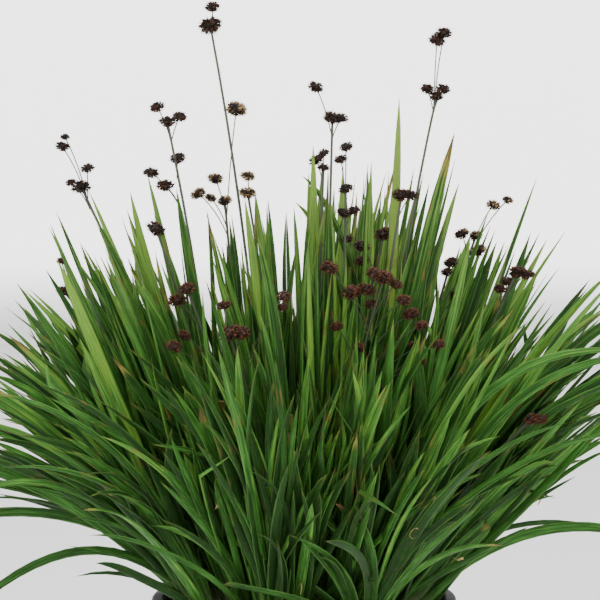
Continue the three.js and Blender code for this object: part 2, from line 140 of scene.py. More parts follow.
# Where a solid leaf or stem is measured along its length, and its width there as a share.
STATIONS = np.array([0, 0.3, 0.56, 0.8, 1])
TAPER = np.array([0.8, 1, 0.94, 0.6, 0])
FEW_STATIONS = np.array([0, 0.38, 0.74, 1])
FEW_TAPER = np.array([0.8, 1, 0.72, 0])
SOLID_STEM_STATIONS = np.array([0, 0.5, 1])

UP = np.array([0.0, 0.0, 1.0])

# Where the photograph is taken from.
VIEWER = np.array([-1.7, -1095.8, 328.0])


class Tone(Enum):
    """How fresh a leaf's green is, from old and deep to young and yellow."""

    DEEP = 0.0
    LEAFY = 0.35
    FRESH = 0.65
    LIME = 0.83


class Tip(Enum):
    """The share of a leaf, from its tip, that has dried. A cut one ends square."""

    SOUND = 0.0
    CUT = 0.015
    YELLOW = 0.04
    BROWN = 0.055


@dataclass(frozen=True)
class ShownLeaf:
    """A leaf of the outline or the front: where its tip is, its full width, arch and colour."""

    x: float
    y: float
    z: float
    width: float
    arch: float
    tone: Tone = Tone.LEAFY
    end: Tip = Tip.SOUND


@dataclass(frozen=True)
class HeadPlace:
    """A flower head on its stem: its middle's x and z, and its radius."""

    x: float
    z: float
    radius: float


@dataclass(frozen=True)
class StemPlace:
    """A flower stem: its foot on the compost, the depth y of its heads, and the heads.

    The faint heads are the ones deep between the leaves, which are too small to have a solid.
    """

    foot: tuple[float, float]
    y: float
    heads: tuple[HeadPlace, ...]
    faint: tuple[HeadPlace, ...] = ()
    redness: float = 0.15
    dryness: float = 0.0


DEEP, LEAFY, FRESH, LIME = Tone.DEEP, Tone.LEAFY, Tone.FRESH, Tone.LIME
CUT, YELLOW, BROWN = Tip.CUT, Tip.YELLOW, Tip.BROWN

# The greens and the dry tips of the leaves that the front doesn't show.
TONE_SHARES = ((0.52, DEEP), (0.82, LEAFY), (0.985, FRESH), (1.0, LIME))
TONE_SHIFT = (-0.06, 0.1)
BROWN_CHANCE = 0.1
BROWN_SHARE = (0.2, 0.9)
TIP_DRYNESS = 0.018

SHOWN_LEAVES = tuple(ShownLeaf(*row) for row in (
    (-107, -25, 264, 4.2, 0.05),
    (-107, 45, 268, 3.2, 0.03, DEEP),
    (-87, -50, 281, 4.6, 0.05, FRESH),
    (-99, -60, 253, 5.8, 0.08, LIME),
    (-112, 20, 243, 4.4, 0.08, DEEP),
    (-80, 50, 268, 3.0, 0.03, DEEP),
    (-71, -30, 280, 5.2, 0.03, FRESH),
    (-71, 25, 284, 4.6, 0.03),
    (-51, -55, 282, 5.0, 0.03, DEEP),
    (-42, -35, 271, 4.6, 0.06, LEAFY, BROWN),
    (-24, -50, 278, 5.0, 0.04, FRESH),
    (-22, 30, 277, 4.4, 0.03),
    (-16, 55, 273, 3.0, 0.02, DEEP),
    (-8, 60, 266, 2.6, 0.02, DEEP),
    (2, -35, 299, 5.6, 0.02, LIME),
    (2, 35, 285, 4.0, 0.12),
    (-3, -20, 273, 4.2, 0.16),
    (29, 20, 290, 4.2, 0.02),
    (25, -40, 278, 2.6, 0.03),
    (36, 55, 277, 2.6, 0.02, DEEP),
    (40, 45, 289, 3.4, 0.02, LEAFY, BROWN),
    (40, -20, 318, 5.4, 0.02, LIME),
    (60, 30, 283, 3.2, 0.05, FRESH),
    (61, -45, 304, 6.8, 0.03, DEEP, BROWN),
    (101, 25, 283, 3.6, 0.04, DEEP),
    (83, -30, 259, 4.0, 0.05),
    (83, 45, 261, 2.6, 0.04, DEEP),
    (67, -55, 261, 4.8, 0.05),
    (78, 15, 251, 4.0, 0.05),
    (95, 55, 250, 2.4, 0.05, DEEP),
    (126, -35, 248, 4.6, 0.14, FRESH),
    (152, -60, 219, 5.2, 0.24, LIME),
    (158, -50, 208, 6.4, 0.1, FRESH),
    (110, 25, 159, 3.8, 0.05, DEEP),
    (120, 45, 150, 2.4, 0.06, DEEP),
    (105, -25, 151, 2.4, 0.25),
    (150, -45, 136, 4.6, 0.38),
    (146, 35, 122, 2.4, 0.38, DEEP),
    (92, -50, 142, 2.8, 0.12),
    (79, -70, 139, 4.6, 0.28, FRESH, BROWN),
    (135, 40, 230, 4.0, 0.1),
    (143, 60, 219, 3.8, 0.1),
    (-140, -50, 206, 5.2, 0.22, FRESH, YELLOW),
    (-141, 40, 167, 3.2, 0.1, DEEP),
    (-162, -35, 170, 6.2, 0.22),
    (-145, 25, 139, 2.4, 0.3, DEEP),
    (-158, -30, 140, 4.8, 0.32),
    (-145, -45, 98, 3.8, 0.6),
    (-84, -60, 129, 4.2, 0.2, DEEP),
    (-87, -85, 155, 6.6, 0.34, FRESH, YELLOW),
    (-123, 30, 230, 3.4, 0.06, DEEP),
    (-110, -15, 234, 3.0, 0.06),
    (-125, 5, 223, 3.0, 0.06),
    (-122, -45, 221, 4.6, 0.16, FRESH, BROWN),
    (29, -75, 225, 3.2, 0.03),
    (28, -85, 212, 5.2, 0.05, FRESH),
    (21, -80, 220, 4.6, 0.05, FRESH),
    (5, -90, 194, 4.8, 0.05, FRESH),
    (29, -92, 171, 4.2, 0.05, FRESH),
    (23, -88, 189, 4.2, 0.06, FRESH, YELLOW),
    (3, -90, 162, 4.6, 0.03, FRESH),
    (44, -70, 222, 3.4, 0.06),
    (55, -80, 194, 3.8, 0.08, FRESH),
    (55, -60, 183, 3.6, 0.08, FRESH),
    (-40, -80, 197, 6.2, 0.14, FRESH, BROWN),
    (-50, -88, 188, 3.6, 0.05),
    (-36, -92, 170, 3.2, 0.04),
    (-10, -85, 143, 4.4, 0.02, DEEP, CUT),
    (-30, -90, 131, 4.4, 0.08, LEAFY, CUT),
    (-132, 0, 196, 4.0, 0.14),
    (-128, -60, 186, 4.4, 0.16),
    (-120, 20, 205, 3.4, 0.08, DEEP),
    (-134, 15, 182, 3.4, 0.14, DEEP),
    (-118, -40, 160, 3.6, 0.2),
    (-104, -60, 196, 4.2, 0.12),
    (-96, 0, 210, 4.0, 0.08, DEEP),
    (-112, -20, 186, 4.0, 0.12, DEEP),
    (118, -10, 214, 4.0, 0.12),
    (124, 20, 196, 3.6, 0.12, DEEP),
    (112, -60, 196, 4.4, 0.14, FRESH),
    (128, -30, 176, 4.0, 0.16),
    (104, 0, 232, 4.0, 0.08),
    (98, -50, 222, 4.0, 0.1, FRESH),
    (116, 50, 178, 3.4, 0.12, DEEP),
    (100, -40, 176, 4.0, 0.14),
))


@dataclass(frozen=True)
class ArchedLeaf:
    """A leaf that crosses the others: its foot, the point it bends towards, its tip and colour."""

    foot: tuple[float, float]
    bend: tuple[float, float, float]
    tip: tuple[float, float, float]
    width: float
    tone: Tone = Tone.LEAFY
    end: Tip = Tip.SOUND


ARCHED_LEAVES = tuple(ArchedLeaf(*row) for row in (
    ((40, -24), (47, -62, 226), (132, -70, 218), 4.0),
    ((26, -30), (46, -66, 196), (90, -74, 229), 2.2, FRESH),
    ((44, -20), (58, -60, 214), (142, -66, 216), 4.0),
    ((30, -24), (48, -62, 172), (86, -70, 231), 2.0, FRESH),
    ((42, -16), (74, -52, 188), (124, -52, 243), 3.2, FRESH),
    ((46, -14), (70, -50, 200), (138, -50, 236), 2.8, DEEP),
    ((44, -24), (62, -60, 174), (130, -66, 184), 2.6),
    ((36, -26), (50, -66, 174), (104, -76, 190), 2.4),
    ((26, -28), (40, -70, 172), (78, -82, 184), 2.0, FRESH),
    ((24, -30), (34, -76, 158), (70, -88, 172), 2.4),
    ((-44, -22), (-60, -64, 192), (-128, -70, 198), 3.4, LEAFY, YELLOW),
    ((-42, -24), (-58, -66, 178), (-122, -72, 170), 3.0),
    ((-36, -26), (-52, -70, 188), (-104, -74, 207), 2.8, DEEP),
    ((-28, -28), (-40, -76, 168), (-80, -86, 186), 2.4, FRESH),
    ((-28, -30), (-44, -76, 150), (-84, -88, 146), 2.8),
    ((-22, -30), (-30, -80, 174), (-62, -86, 206), 2.6, DEEP),
    ((-14, -32), (-14, -82, 172), (-42, -92, 194), 2.4),
    ((14, -32), (14, -82, 168), (44, -92, 197), 2.6),
    ((-8, -32), (4, -84, 158), (-22, -94, 175), 2.4, DEEP),
    ((34, -8), (32, -22, 246), (-3, -26, 276), 4.0),
    ((34, 2), (31, -8, 262), (2, -13, 288), 3.0, DEEP),
    ((-16, -4), (-19, -10, 190), (-20, -20, 277), 2.4, DEEP, BROWN),
    ((-10, -8), (-11, -12, 196), (-15, -20, 274), 2.6),
    ((0, -6), (-8, -14, 190), (-7, -24, 270), 2.8, DEEP),
    ((14, 2), (16, -4, 194), (24, -10, 274), 2.2, LEAFY, BROWN),
    ((22, 4), (24, 0, 196), (33, -6, 279), 2.6, DEEP),
    ((-22, 2), (-22, -6, 190), (-27, -16, 270), 2.8, DEEP),
    ((-32, 0), (-36, -4, 190), (-43, -12, 271), 2.6, DEEP),
    ((6, 10), (6, 4, 196), (9, -4, 276), 2.6),
))


def heads(*places: tuple[float, float, float]) -> tuple[HeadPlace, ...]:
    """The heads of one stem from their x, z and radius."""
    return tuple(HeadPlace(*place) for place in places)


FLOWER_STEMS = (
    StemPlace((-14, 12), 20, heads((-40, 348, 3.7), (-39, 356, 2.8))),
    StemPlace(
        (-22, -8), -15,
        heads((-33, 275, 2.8), (-28, 313, 3.3), (-37, 284, 2.5), (-44, 278, 2.4), (-39, 276, 2.2)),
        dryness=0.3,
    ),
    StemPlace((-7, 2), 10, heads((-24, 277, 3.0), (-24, 284, 2.6)), dryness=0.6),
    StemPlace(
        (-30, -14), -30,
        heads(
            (-56, 308, 3.1), (-51, 310, 2.3), (-60, 314, 2.5), (-52, 293, 2.7), (-63, 287, 2.3),
            (-57, 282, 3.3),
        ),
    ),
    StemPlace((-26, -30), -45, heads((-60, 265, 3.1))),
    StemPlace(
        (-42, 2), 0,
        heads((-94, 280, 2.9), (-102, 297, 2.4), (-91, 288, 2.4)),
        faint=heads((-101, 301, 1.7), (-98, 282, 1.7)),
    ),
    StemPlace((-38, 22), 35, heads((-105, 233, 2.4), (-106, 246, 2.0)), redness=0.3),
    StemPlace(
        (-16, -42), -60,
        heads((-47, 242, 3.0), (-51, 237, 3.0), (-48, 223, 2.6), (-52, 219, 2.5)),
        redness=0.8,
    ),
    StemPlace(
        (-6, -47), -70,
        heads((-30, 225, 3.5), (-25, 225, 3.3)),
        faint=heads((-32, 236, 2.3), (-8, 240, 2.1), (-9, 235, 2.2)),
        redness=1.0,
    ),
    StemPlace((8, 6), 5, heads((12, 309, 3.0), (16, 309, 2.2), (5, 322, 2.4)), redness=0.0),
    StemPlace((4, -14), -20, heads((8, 289, 2.2), (5, 292, 2.7), (8, 295, 2.3)), redness=0.0),
    StemPlace(
        (14, -28), -35,
        heads((17, 281, 2.5), (15, 293, 2.4), (17, 298, 2.1), (16, 271, 2.1), (20, 272, 2.1)),
        redness=0.0,
    ),
    StemPlace(
        (28, 12), 25,
        heads((57, 318, 2.8), (53, 321, 2.8), (60, 321, 2.6), (60, 345, 2.7), (57, 342, 2.8)),
    ),
    StemPlace((22, -20), -30, heads((40, 278, 2.9), (44, 278, 2.9)), redness=0.3),
    StemPlace(
        (16, -8), -15,
        heads((33, 261, 3.5), (24, 256, 2.9), (18, 259, 2.0), (24, 250, 2.4)),
        redness=0.4,
    ),
    StemPlace(
        (36, -2), -10,
        heads((72, 260, 2.5), (73, 254, 2.9), (66, 261, 2.6), (79, 273, 2.7), (85, 275, 2.1)),
        dryness=0.3,
    ),
    StemPlace((34, 10), 15, heads((63, 247, 2.8), (61, 243, 2.2), (69, 240, 2.6), (66, 232, 2.6))),
    StemPlace(
        (44, -12), -25,
        heads((88, 246, 3.3), (92, 245, 2.4), (84, 242, 2.5), (81, 239, 2.4)),
        redness=0.3,
    ),
    StemPlace((38, -28), -50, heads((92, 188, 3.0), (96, 188, 2.4)), redness=0.8),
    StemPlace(
        (8, -38), -55,
        heads(
            (32, 246, 3.8), (28, 248, 2.5), (19, 240, 3.0), (25, 241, 2.8), (27, 235, 2.4),
            (37, 243, 2.5), (40, 237, 2.9), (10, 250, 3.0),
        ),
        faint=heads(
            (43, 231, 2.5), (47, 227, 2.3), (45, 217, 2.4), (54, 219, 2.2), (13, 226, 2.3),
            (22, 218, 2.4), (47, 212, 2.0),
        ),
        redness=0.8,
    ),
)


def unit(vectors: Array) -> Array:
    """Vectors, one or many in rows, scaled to length one."""
    length = np.linalg.norm(vectors, axis=-1, keepdims=True)
    return vectors / np.where(length == 0, 1, length)


def point(x: float, y: float, z: float) -> Array:
    """A point or a direction."""
    return np.array([x, y, z], float)


def blend(start: Array, end: Array, share: float) -> Array:
    """The point that lies a share of the way from start to end."""
    return start + (end - start) * share


def curve_points(foot: Array, control: Array, tip: Array, stations: Array) -> Array:
    """The points of a curve from foot to tip that bends towards control, a row for each station."""
    t = stations[:, None]
    return (1 - t) ** 2 * foot + 2 * (1 - t) * t * control + t**2 * tip


def stem_point(points: Array, z: float) -> Array:
    """The point of a stem at a height, or its foot or top where it doesn't reach that height."""
    last = len(points) - 1
    i = next(k for k in range(1, last + 1) if points[k][2] >= z or k == last)
    low, high = points[i - 1], points[i]
    return blend(low, high, min(max((z - low[2]) / (high[2] - low[2]), 0.0), 1.0))


def branch_point(points: Array, head: Array) -> Array:
    """Where a stalk leaves its stem: the further from the stem its head is, the lower."""
    beside = float(np.linalg.norm(head - stem_point(points, head[2])))
    return stem_point(points, head[2] - STALK_RISE - STALK_STEEPNESS * beside)


class Dice:
    """A repeatable run of random numbers, each worked out from the one before."""

    STEP = 16807
    TURN = 2147483647

    def __init__(self, seed: int) -> None:
        """Starts the run at a seed."""
        self.state = seed

    def between(self, low: float, high: float) -> float:
        """The next number, spread evenly from low to high."""
        self.state = (self.state * self.STEP) % self.TURN
        return low + ((high - low) * self.state) / self.TURN

    def about(self, reach: float) -> float:
        """The next number, spread evenly to both sides of nothing, as far as the reach."""
        return self.between(-reach, reach)

    def shift(self, reach: float, height_share: float) -> Array:
        """A shift in all three directions, with only a share of the reach upwards."""
        return np.array([self.about(reach) for _ in range(3)]) * [1, 1, height_share]

    def pick(self, count: int) -> int:
        """One of the first whole numbers, from nought."""
        return int(self.between(0, count - 0.001))

    def chance(self, share: float) -> bool:
        """True for that share of the calls."""
        return self.between(0, 1) < share


@dataclass(frozen=True)
class PotSize:
    """The round nursery pot's dimensions, in millimetres."""

    height: float = 105
    rim_radius: float = 65
    base_radius: float = 47
    wall: float = 1.8
    floor: float = 2.2
    lip_width: float = 3.4
    lip_depth: float = 9
    holes: int = 5
    hole_radius: float = 4.5
    hole_ring: float = 34

    @property
    def mouth_radius(self) -> float:
        """The inner radius at the rim."""
        return self.rim_radius - self.lip_width - self.wall

    def outer_radius(self, z: float) -> float:
        """The wall's outer radius at a height."""
        widening = self.rim_radius - self.lip_width - self.base_radius
        return self.base_radius + widening * (z / self.height)


POT = PotSize()


@dataclass
class Strand:
    """A leaf, sheath, stem or stalk: rings along a curve, each with two directions and half sizes."""

    at: Array
    side: Array
    face: Array
    half_width: Array
    half_thickness: Array

    @classmethod
    def through(
        cls,
        points: Array,
        half_widths: Array,
        half_thicknesses: Array,
        facing: Array,
        twist: float = 0.0,
    ) -> "Strand":
        """A strand through points.

        Args:
            points: the middle of each ring.
            half_widths: half the width at each ring.
            half_thicknesses: half the thickness at each ring.
            facing: the direction that the flat side faces at the foot.
            twist: the angle in radians that the section turns by from foot to tip.

        Returns:
            The strand.
        """
        before = np.vstack([points[:1], points[:-1]])
        after = np.vstack([points[1:], points[-1:]])
        along = unit(after - before)
        side = unit(np.cross(facing, along))
        face = np.cross(along, side)
        turn = (twist * np.arange(len(points)) / (len(points) - 1))[:, None]
        return cls(
            points,
            side * np.cos(turn) + face * np.sin(turn),
            face * np.cos(turn) - side * np.sin(turn),
            np.asarray(half_widths, float),
            np.asarray(half_thicknesses, float),
        )

    def turns_over(self) -> bool:
        """Whether it turns over sharply between two of its rings."""
        turns = np.sum(self.side[1:] * self.side[:-1], axis=1)
        return bool(np.any(turns < SHARPEST_TURN))

    def meets_rim(self) -> bool:
        """Whether it meets the pot's rim or wall on its way out."""
        across = np.array([-1.0, 0.0, 1.0])[:, None, None]
        edges = self.at + across * (self.side * self.half_width[:, None])
        steps = (np.arange(20) * 0.05)[:, None, None, None]
        path = edges[:, :-1] + (edges[:, 1:] - edges[:, :-1]) * steps
        radius = np.hypot(path[..., 0], path[..., 1])
        below = np.maximum(POT.height - path[..., 2], 0) / POT.height
        slope = (POT.rim_radius - POT.base_radius) * below
        inside = radius < POT.mouth_radius - slope - RIM_MARGIN
        outside = radius > POT.rim_radius + RIM_MARGIN
        return bool(np.any(~inside & ~outside & (path[..., 2] < POT.height + RIM_MARGIN)))

    def hides(self, heads: Array) -> bool:
        """Whether it passes between the viewer and a head, given each one's middle and radius."""
        steps = (np.arange(5) * 0.2)[:, None, None]
        path = (self.at[:-1] + (self.at[1:] - self.at[:-1]) * steps).reshape(-1, 3) - VIEWER
        far = np.linalg.norm(path, axis=1)
        middles = heads[:, :3] - VIEWER
        apart = np.cross(path[:, None] / far[:, None, None], middles[None])
        near = np.linalg.norm(apart, axis=2) < heads[:, 3] + self.half_width.max()
        return bool(np.any(near & (far[:, None] < np.linalg.norm(middles, axis=1))))

    def corners(self) -> Array:
        """The lowest and the highest corner of the box that it needs to itself."""
        reach = self.half_width.max() + CLEARANCE
        return np.array([self.at.min(0) - reach, self.at.max(0) + reach])


@dataclass
class Segments:
    """The straight pieces between the rings of one or more strands."""

    start: Array
    along: Array
    side: Array
    face: Array
    width: Array
    thickness: Array
    order: Array

    @classmethod
    def of(cls, strand: Strand) -> "Segments":
        """The segments of one strand."""
        return cls(
            strand.at[:-1],
            strand.at[1:] - strand.at[:-1],
            unit(strand.side[1:] + strand.side[:-1]),
            unit(strand.face[1:] + strand.face[:-1]),
            np.maximum(strand.half_width[1:], strand.half_width[:-1]),
            np.maximum(strand.half_thickness[1:], strand.half_thickness[:-1]),
            np.arange(1, len(strand.at)),
        )

    @classmethod
    def joined(cls, parts: Sequence["Segments"]) -> "Segments":
        """The segments of several strands in one."""
        names = cls.__dataclass_fields__
        return cls(*(np.concatenate([getattr(part, name) for part in parts]) for name in names))

    def extent(self, direction: Array) -> Array:
        """How far each section reaches in a direction, about the middle of its segment."""
        width = np.abs(np.sum(self.side * direction, axis=-1)) * self.width
        return width + np.abs(np.sum(self.face * direction, axis=-1)) * self.thickness


def shortest_ways(one: Segments, other: Segments) -> Array:
    """The shortest way from each segment of one to each segment of the other.

    Args:
        one: m segments.
        other: n segments.

    Returns:
        An array of m by n vectors.
    """
    along, toward = one.along[:, None], other.along[None]
    offset = one.start[:, None] - other.start[None]
    a, e = np.sum(along * along, -1), np.sum(toward * toward, -1)
    f, b = np.sum(toward * offset, -1), np.sum(along * toward, -1)
    c = np.sum(along * offset, -1)
    skew = a * e - b * b
    apart = skew > 1e-9 * a * e
    s = np.where(apart, np.clip((b * f - c * e) / np.where(apart, skew, 1), 0, 1), 0)
    t = (b * s + f) / e
    s = np.where(t < 0, np.clip(-c / a, 0, 1), np.where(t > 1, np.clip((b - c) / a, 0, 1), s))
    t = np.clip(t, 0, 1)
    return toward * t[..., None] - offset - along * s[..., None]


class Clump:
    """Everything that has grown so far, as strands that belong to pieces."""

    def __init__(self) -> None:
        """Starts with nothing grown."""
        self.parts: list[Segments] = []
        self.boxes: list[Array] = []
        self.owners: list[str] = []

    def add(self, strand: Strand, piece: str) -> None:
        """Adds a strand of a piece."""
        self.parts.append(Segments.of(strand))
        self.boxes.append(strand.corners())
        self.owners.append(piece)

    def has_room_for(self, strand: Strand, piece: str) -> bool:
        """Whether a strand would stand clear of all that has grown.

        Strands of one piece are joined at the foot, so their first segments aren't compared.

        Args:
            strand: the strand that would grow.
            piece: the piece that it would belong to.

        Returns:
            True if it has room.
        """
        if strand.turns_over():
            return False
        if not self.parts:
            return True
        low, high = strand.corners()
        boxes = np.array(self.boxes)
        near = np.all(boxes[:, 0] <= high, axis=1) & np.all(boxes[:, 1] >= low, axis=1)
        mine = Segments.of(strand)
        for own in (False, True):
            picked = [
                part
                for part, is_near, owner in zip(self.parts, near, self.owners)
                if is_near and (owner == piece) is own
            ]
            if not picked:
                continue
            theirs = Segments.joined(picked)
            way = shortest_ways(mine, theirs)
            distance = np.linalg.norm(way, axis=-1)
            direction = way / np.maximum(distance, 1e-9)[..., None]
            mine_wide = Segments(*(np.asarray(v)[:, None] for v in vars(mine).values()))
            reach = mine_wide.extent(direction) + theirs.extent(direction)
            blocked = distance < reach + CLEARANCE
            if own:
                blocked &= (mine.order[:, None] > 1) & (theirs.order[None] > 1)
            if blocked.any():
                return False
        return True


@dataclass
class Leaf:
    """A leaf's curve, from foot to tip, with its width, its twist and its colour."""

    foot: Array
    control: Array
    tip: Array
    width: float
    facing: Array
    twist: float
    tone: float = Tone.LEAFY.value
    dry: float = 0.0
    is_cut: bool = False

    def strand(self, stations: Array, taper: Array) -> Strand:
        """The leaf's rings at some stations, with its width there as a share of the widest."""
        points = curve_points(self.foot, self.control, self.tip, stations)
        flat = self.facing - unit(self.tip - self.foot) * np.dot(
            self.facing, unit(self.tip - self.foot)
        )
        return Strand.through(
            points, taper * self.width / 2, taper * LEAF_THICKNESS / 2, unit(flat), self.twist
        )


def grow_leaf(
    foot: Array,
    tip: Array,
    width: float,
    arch: float,
    sway: Array,
    facing: Array,
    twist: float,
    sparse: bool = False,
) -> tuple[Leaf, Strand]:
    """A leaf from its foot to its tip. One that would meet the rim stands up more first.

    Args:
        foot: where it starts.
        tip: where it ends.
        width: its full width.
        arch: how far its middle is lifted, as a share of its length.
        sway: how far its middle is moved sideways, as a share of its length.
        facing: the direction that its flat side faces.
        twist: the angle in radians that it turns by from foot to tip.
        sparse: whether it is measured at the fewer stations of a nearly straight leaf.

    Returns:
        The leaf and the strand that its solid has.
    """
    stations, taper = (FEW_STATIONS, FEW_TAPER) if sparse else (STATIONS, TAPER)
    chord = tip - foot
    length = float(np.linalg.norm(chord))
    lift = arch
    while True:
        control = foot + chord * BEND_PLACE + UP * (lift * length) + sway * length
        leaf = Leaf(foot, control, tip, width, facing, twist)
        strand = leaf.strand(stations, taper)
        if lift > LIFT_MOST or not strand.meets_rim():
            return leaf, strand
        lift += LIFT_STEP


@dataclass
class Fan:
    """A shoot: the sheath it grows from, the plane that it spreads in, and its leaves."""

    name: str
    foot: Array
    axis: Array
    spread: Array
    facing: Array
    lean: float
    lean_azimuth: float
    leaves: list[Leaf] = field(default_factory=list)

    @property
    def leaf_foot(self) -> Array:
        """Where the fan's leaves start, inside the sheath."""
        return self.foot + self.axis * SHEATH_LEAF_FOOT

    @property
    def has_space(self) -> bool:
        """Whether it has fewer leaves than a fan's solid holds."""
        return len(self.leaves) < LEAVES_PER_FAN


@dataclass
class Stalk:
    """A stem or a stalk as its solid has it, and the head that it carries."""

    points: Array
    radii: Array
    head: Array
    head_radius: float
    facing: Array

    @classmethod
    def to_head(cls, stem: Array, head: Array, head_radius: float, facing: Array) -> "Stalk":
        """A side stalk from its stem's points to its head."""
        points = np.array([branch_point(stem, head), head])
        return cls(points, np.full(2, STALK_RADIUS), head, head_radius, facing)

    def strand(self) -> Strand:
        """The solid's strand: it swells to the head's radius and closes to a point."""
        along = unit(self.points[-1] - self.points[-2])
        under, over = self.head - along * self.head_radius, self.head + along * self.head_radius
        sizes = np.append(self.radii, [self.head_radius, 0])
        points = np.vstack([self.points[:-1], under, self.head, over])
        return Strand.through(points, sizes, sizes, self.facing)


@dataclass
class FlowerStem:
    """A flower stem with the stalks that branch from it."""

    name: str
    place: StemPlace
    stalks: list[Stalk]


class Plant:
    """The whole plant, grown in order: stems, sheaths, shown leaves, then the leaves between."""

    def __init__(self, seed: int = GROWTH_SEED) -> None:
        """Grows the plant from a seed."""
        self.dice = Dice(seed)
        self.clump = Clump()
        self.stems: list[FlowerStem] = []
        self.fans: list[Fan] = []
        for number, place in enumerate(FLOWER_STEMS, 1):
            self.stems.append(self._grow_stem(number, place))
        for number in range(FANS):
            self.fans.append(self._grow_fan(number))
        for shown in SHOWN_LEAVES:
            self._grow_shown_leaf(shown)
        for fan in self.fans:
            self._fill(fan)

    def arched_leaves(self) -> dict[str, list[ArchedLeaf]]:
        """The arched leaves of each fan, at most one for a fan, from the one nearest their foot."""
        places: dict[str, list[ArchedLeaf]] = {fan.name: [] for fan in self.fans}
        for place in ARCHED_LEAVES:
            x, y = place.foot
            fan = min(
                (fan for fan in self.fans if not places[fan.name]),
                key=lambda fan: math.hypot(fan.foot[0] - x, fan.foot[1] - y),
            )
            places[fan.name].append(place)
        return places

    def heads(self) -> Array:
        """The middle and radius of each flower head, a row for each."""
        stalks = [stalk for stem in self.stems for stalk in stem.stalks]
        return np.array([[*stalk.head, stalk.head_radius] for stalk in stalks])

    def _grow_stem(self, number: int, place: StemPlace) -> FlowerStem:
        """Grows one flower stem.

        Args:
            number: its number, from 1.
            place: where it stands and what it carries.

        Returns:
            The stem.
        """
        start = point(*place.foot, COMPOST_TOP + 2 * GAP)
        first = place.heads[0]
        top = point(first.x, place.y, first.z)
        middle_y = place.foot[1] * (1 - STEM_BEND) + place.y * STEM_BEND
        control = point(place.foot[0] * STEM_OUTWARD, middle_y, (start[2] + top[2]) / 2)
        facing = unit(point(*STEM_FACING))
        radii = STEM_FOOT_RADIUS + (STEM_TOP_RADIUS - STEM_FOOT_RADIUS) * SOLID_STEM_STATIONS
        points = curve_points(start, control, top, SOLID_STEM_STATIONS)
        stem = FlowerStem(f"flower_stem_{number:02d}", place, [])
        stem.stalks.append(Stalk(points, radii, top, first.radius, facing))
        for head in place.heads[1:]:
            at = point(head.x, place.y + self.dice.about(STALK_DEPTH_SPREAD), head.z)
            stem.stalks.append(Stalk.to_head(points, at, head.radius, facing))
        for stalk in stem.stalks:
            self.clump.add(stalk.strand(), stem.name)
        return stem

    def _grow_fan(self, number: int) -> Fan:
        """Finds a free place on the compost for a fan's sheath.

        Args:
            number: its number, from 0.

        Returns:
            The fan, with no leaf yet.

        Raises:
            RuntimeError: if there is no free place.
        """
        share = math.sqrt((number + 0.5) / FANS)
        azimuth = number * GOLDEN_TURN
        name = f"leaf_fan_{number + 1:02d}"
        for attempt in range(FAN_TRIES):
            wander = min(attempt * FAN_WANDER_STEP, FAN_WANDER_MOST)
            x = BED_RADIUS * share * math.cos(azimuth) + self.dice.about(wander)
            y = BED_RADIUS * share * math.sin(azimuth) + self.dice.about(wander)
            foot = point(x, y, COMPOST_TOP + GAP)
            lean_azimuth = azimuth + self.dice.about(LEAN_TURN_SPREAD)
            lean = LEAN_AT_MIDDLE + LEAN_OUTWARDS * share * share + self.dice.about(LEAN_SPREAD)
            out = point(math.cos(lean_azimuth), math.sin(lean_azimuth), 0)
            axis = out * math.sin(lean * 0.5) + UP * math.cos(lean * 0.5)
            plane = azimuth + math.pi / 2 + self.dice.about(PLANE_SPREAD)
            spread = point(math.cos(plane), math.sin(plane), 0)
            facing = np.cross(spread, UP)
            points = foot + axis * np.array([[0.0], [SHEATH_LENGTH]])
            widths = SHEATH_HALF_WIDTH * np.array([1, SHEATH_TOP_WIDTH])
            thicknesses = SHEATH_HALF_THICKNESS * np.array([1, SHEATH_TOP_THICKNESS])
            sheath = Strand.through(points, widths, thicknesses, facing)
            sheath.side[:] = np.cross(facing, UP)
            sheath.face[:] = facing
            if math.hypot(x, y) < BED_RADIUS + BED_MARGIN and self.clump.has_room_for(sheath, name):
                self.clump.add(sheath, name)
                return Fan(name, foot, axis, spread, facing, lean, lean_azimuth)
        raise RuntimeError(f"{name} finds no room on the compost")

    def _grow_shown_leaf(self, shown: ShownLeaf) -> None:
        """Grows a shown leaf from one of the fans that stand most nearly under it."""
        under = point(shown.x, shown.y, 0) * FOOT_UNDER_TIP
        under *= min(1.0, BED_RADIUS / float(np.linalg.norm(under)))
        nearest = sorted(
            (fan for fan in self.fans if fan.has_space),
            key=lambda fan: math.hypot(fan.foot[0] - under[0], fan.foot[1] - under[1]),
        )
        for attempt in range(SHOWN_TRIES):
            fan = nearest[attempt // TRIES_PER_FAN % len(nearest)]
            tip = point(shown.x, shown.y + self.dice.about(SHOWN_DEPTH_SPREAD), shown.z)
            sway = point(self.dice.about(SWAY_SPREAD), self.dice.about(SWAY_SPREAD), 0)
            turn = self.dice.about(SHOWN_TURN_SPREAD)
            facing = point(math.sin(turn), -math.cos(turn), 0)
            twist = self.dice.about(SHOWN_TWIST_SPREAD)
            sparse = shown.arch < SPARSE_ARCH
            leaf, strand = grow_leaf(
                fan.leaf_foot, tip, shown.width, shown.arch, sway, facing, twist, sparse
            )
            if self.clump.has_room_for(strand, fan.name):
                leaf.tone, leaf.dry = shown.tone.value, shown.end.value
                leaf.is_cut = shown.end is Tip.CUT
                fan.leaves.append(leaf)
                self.clump.add(strand, fan.name)
                return
        LOG.warning("no room for the leaf to x %g, z %g", shown.x, shown.z)

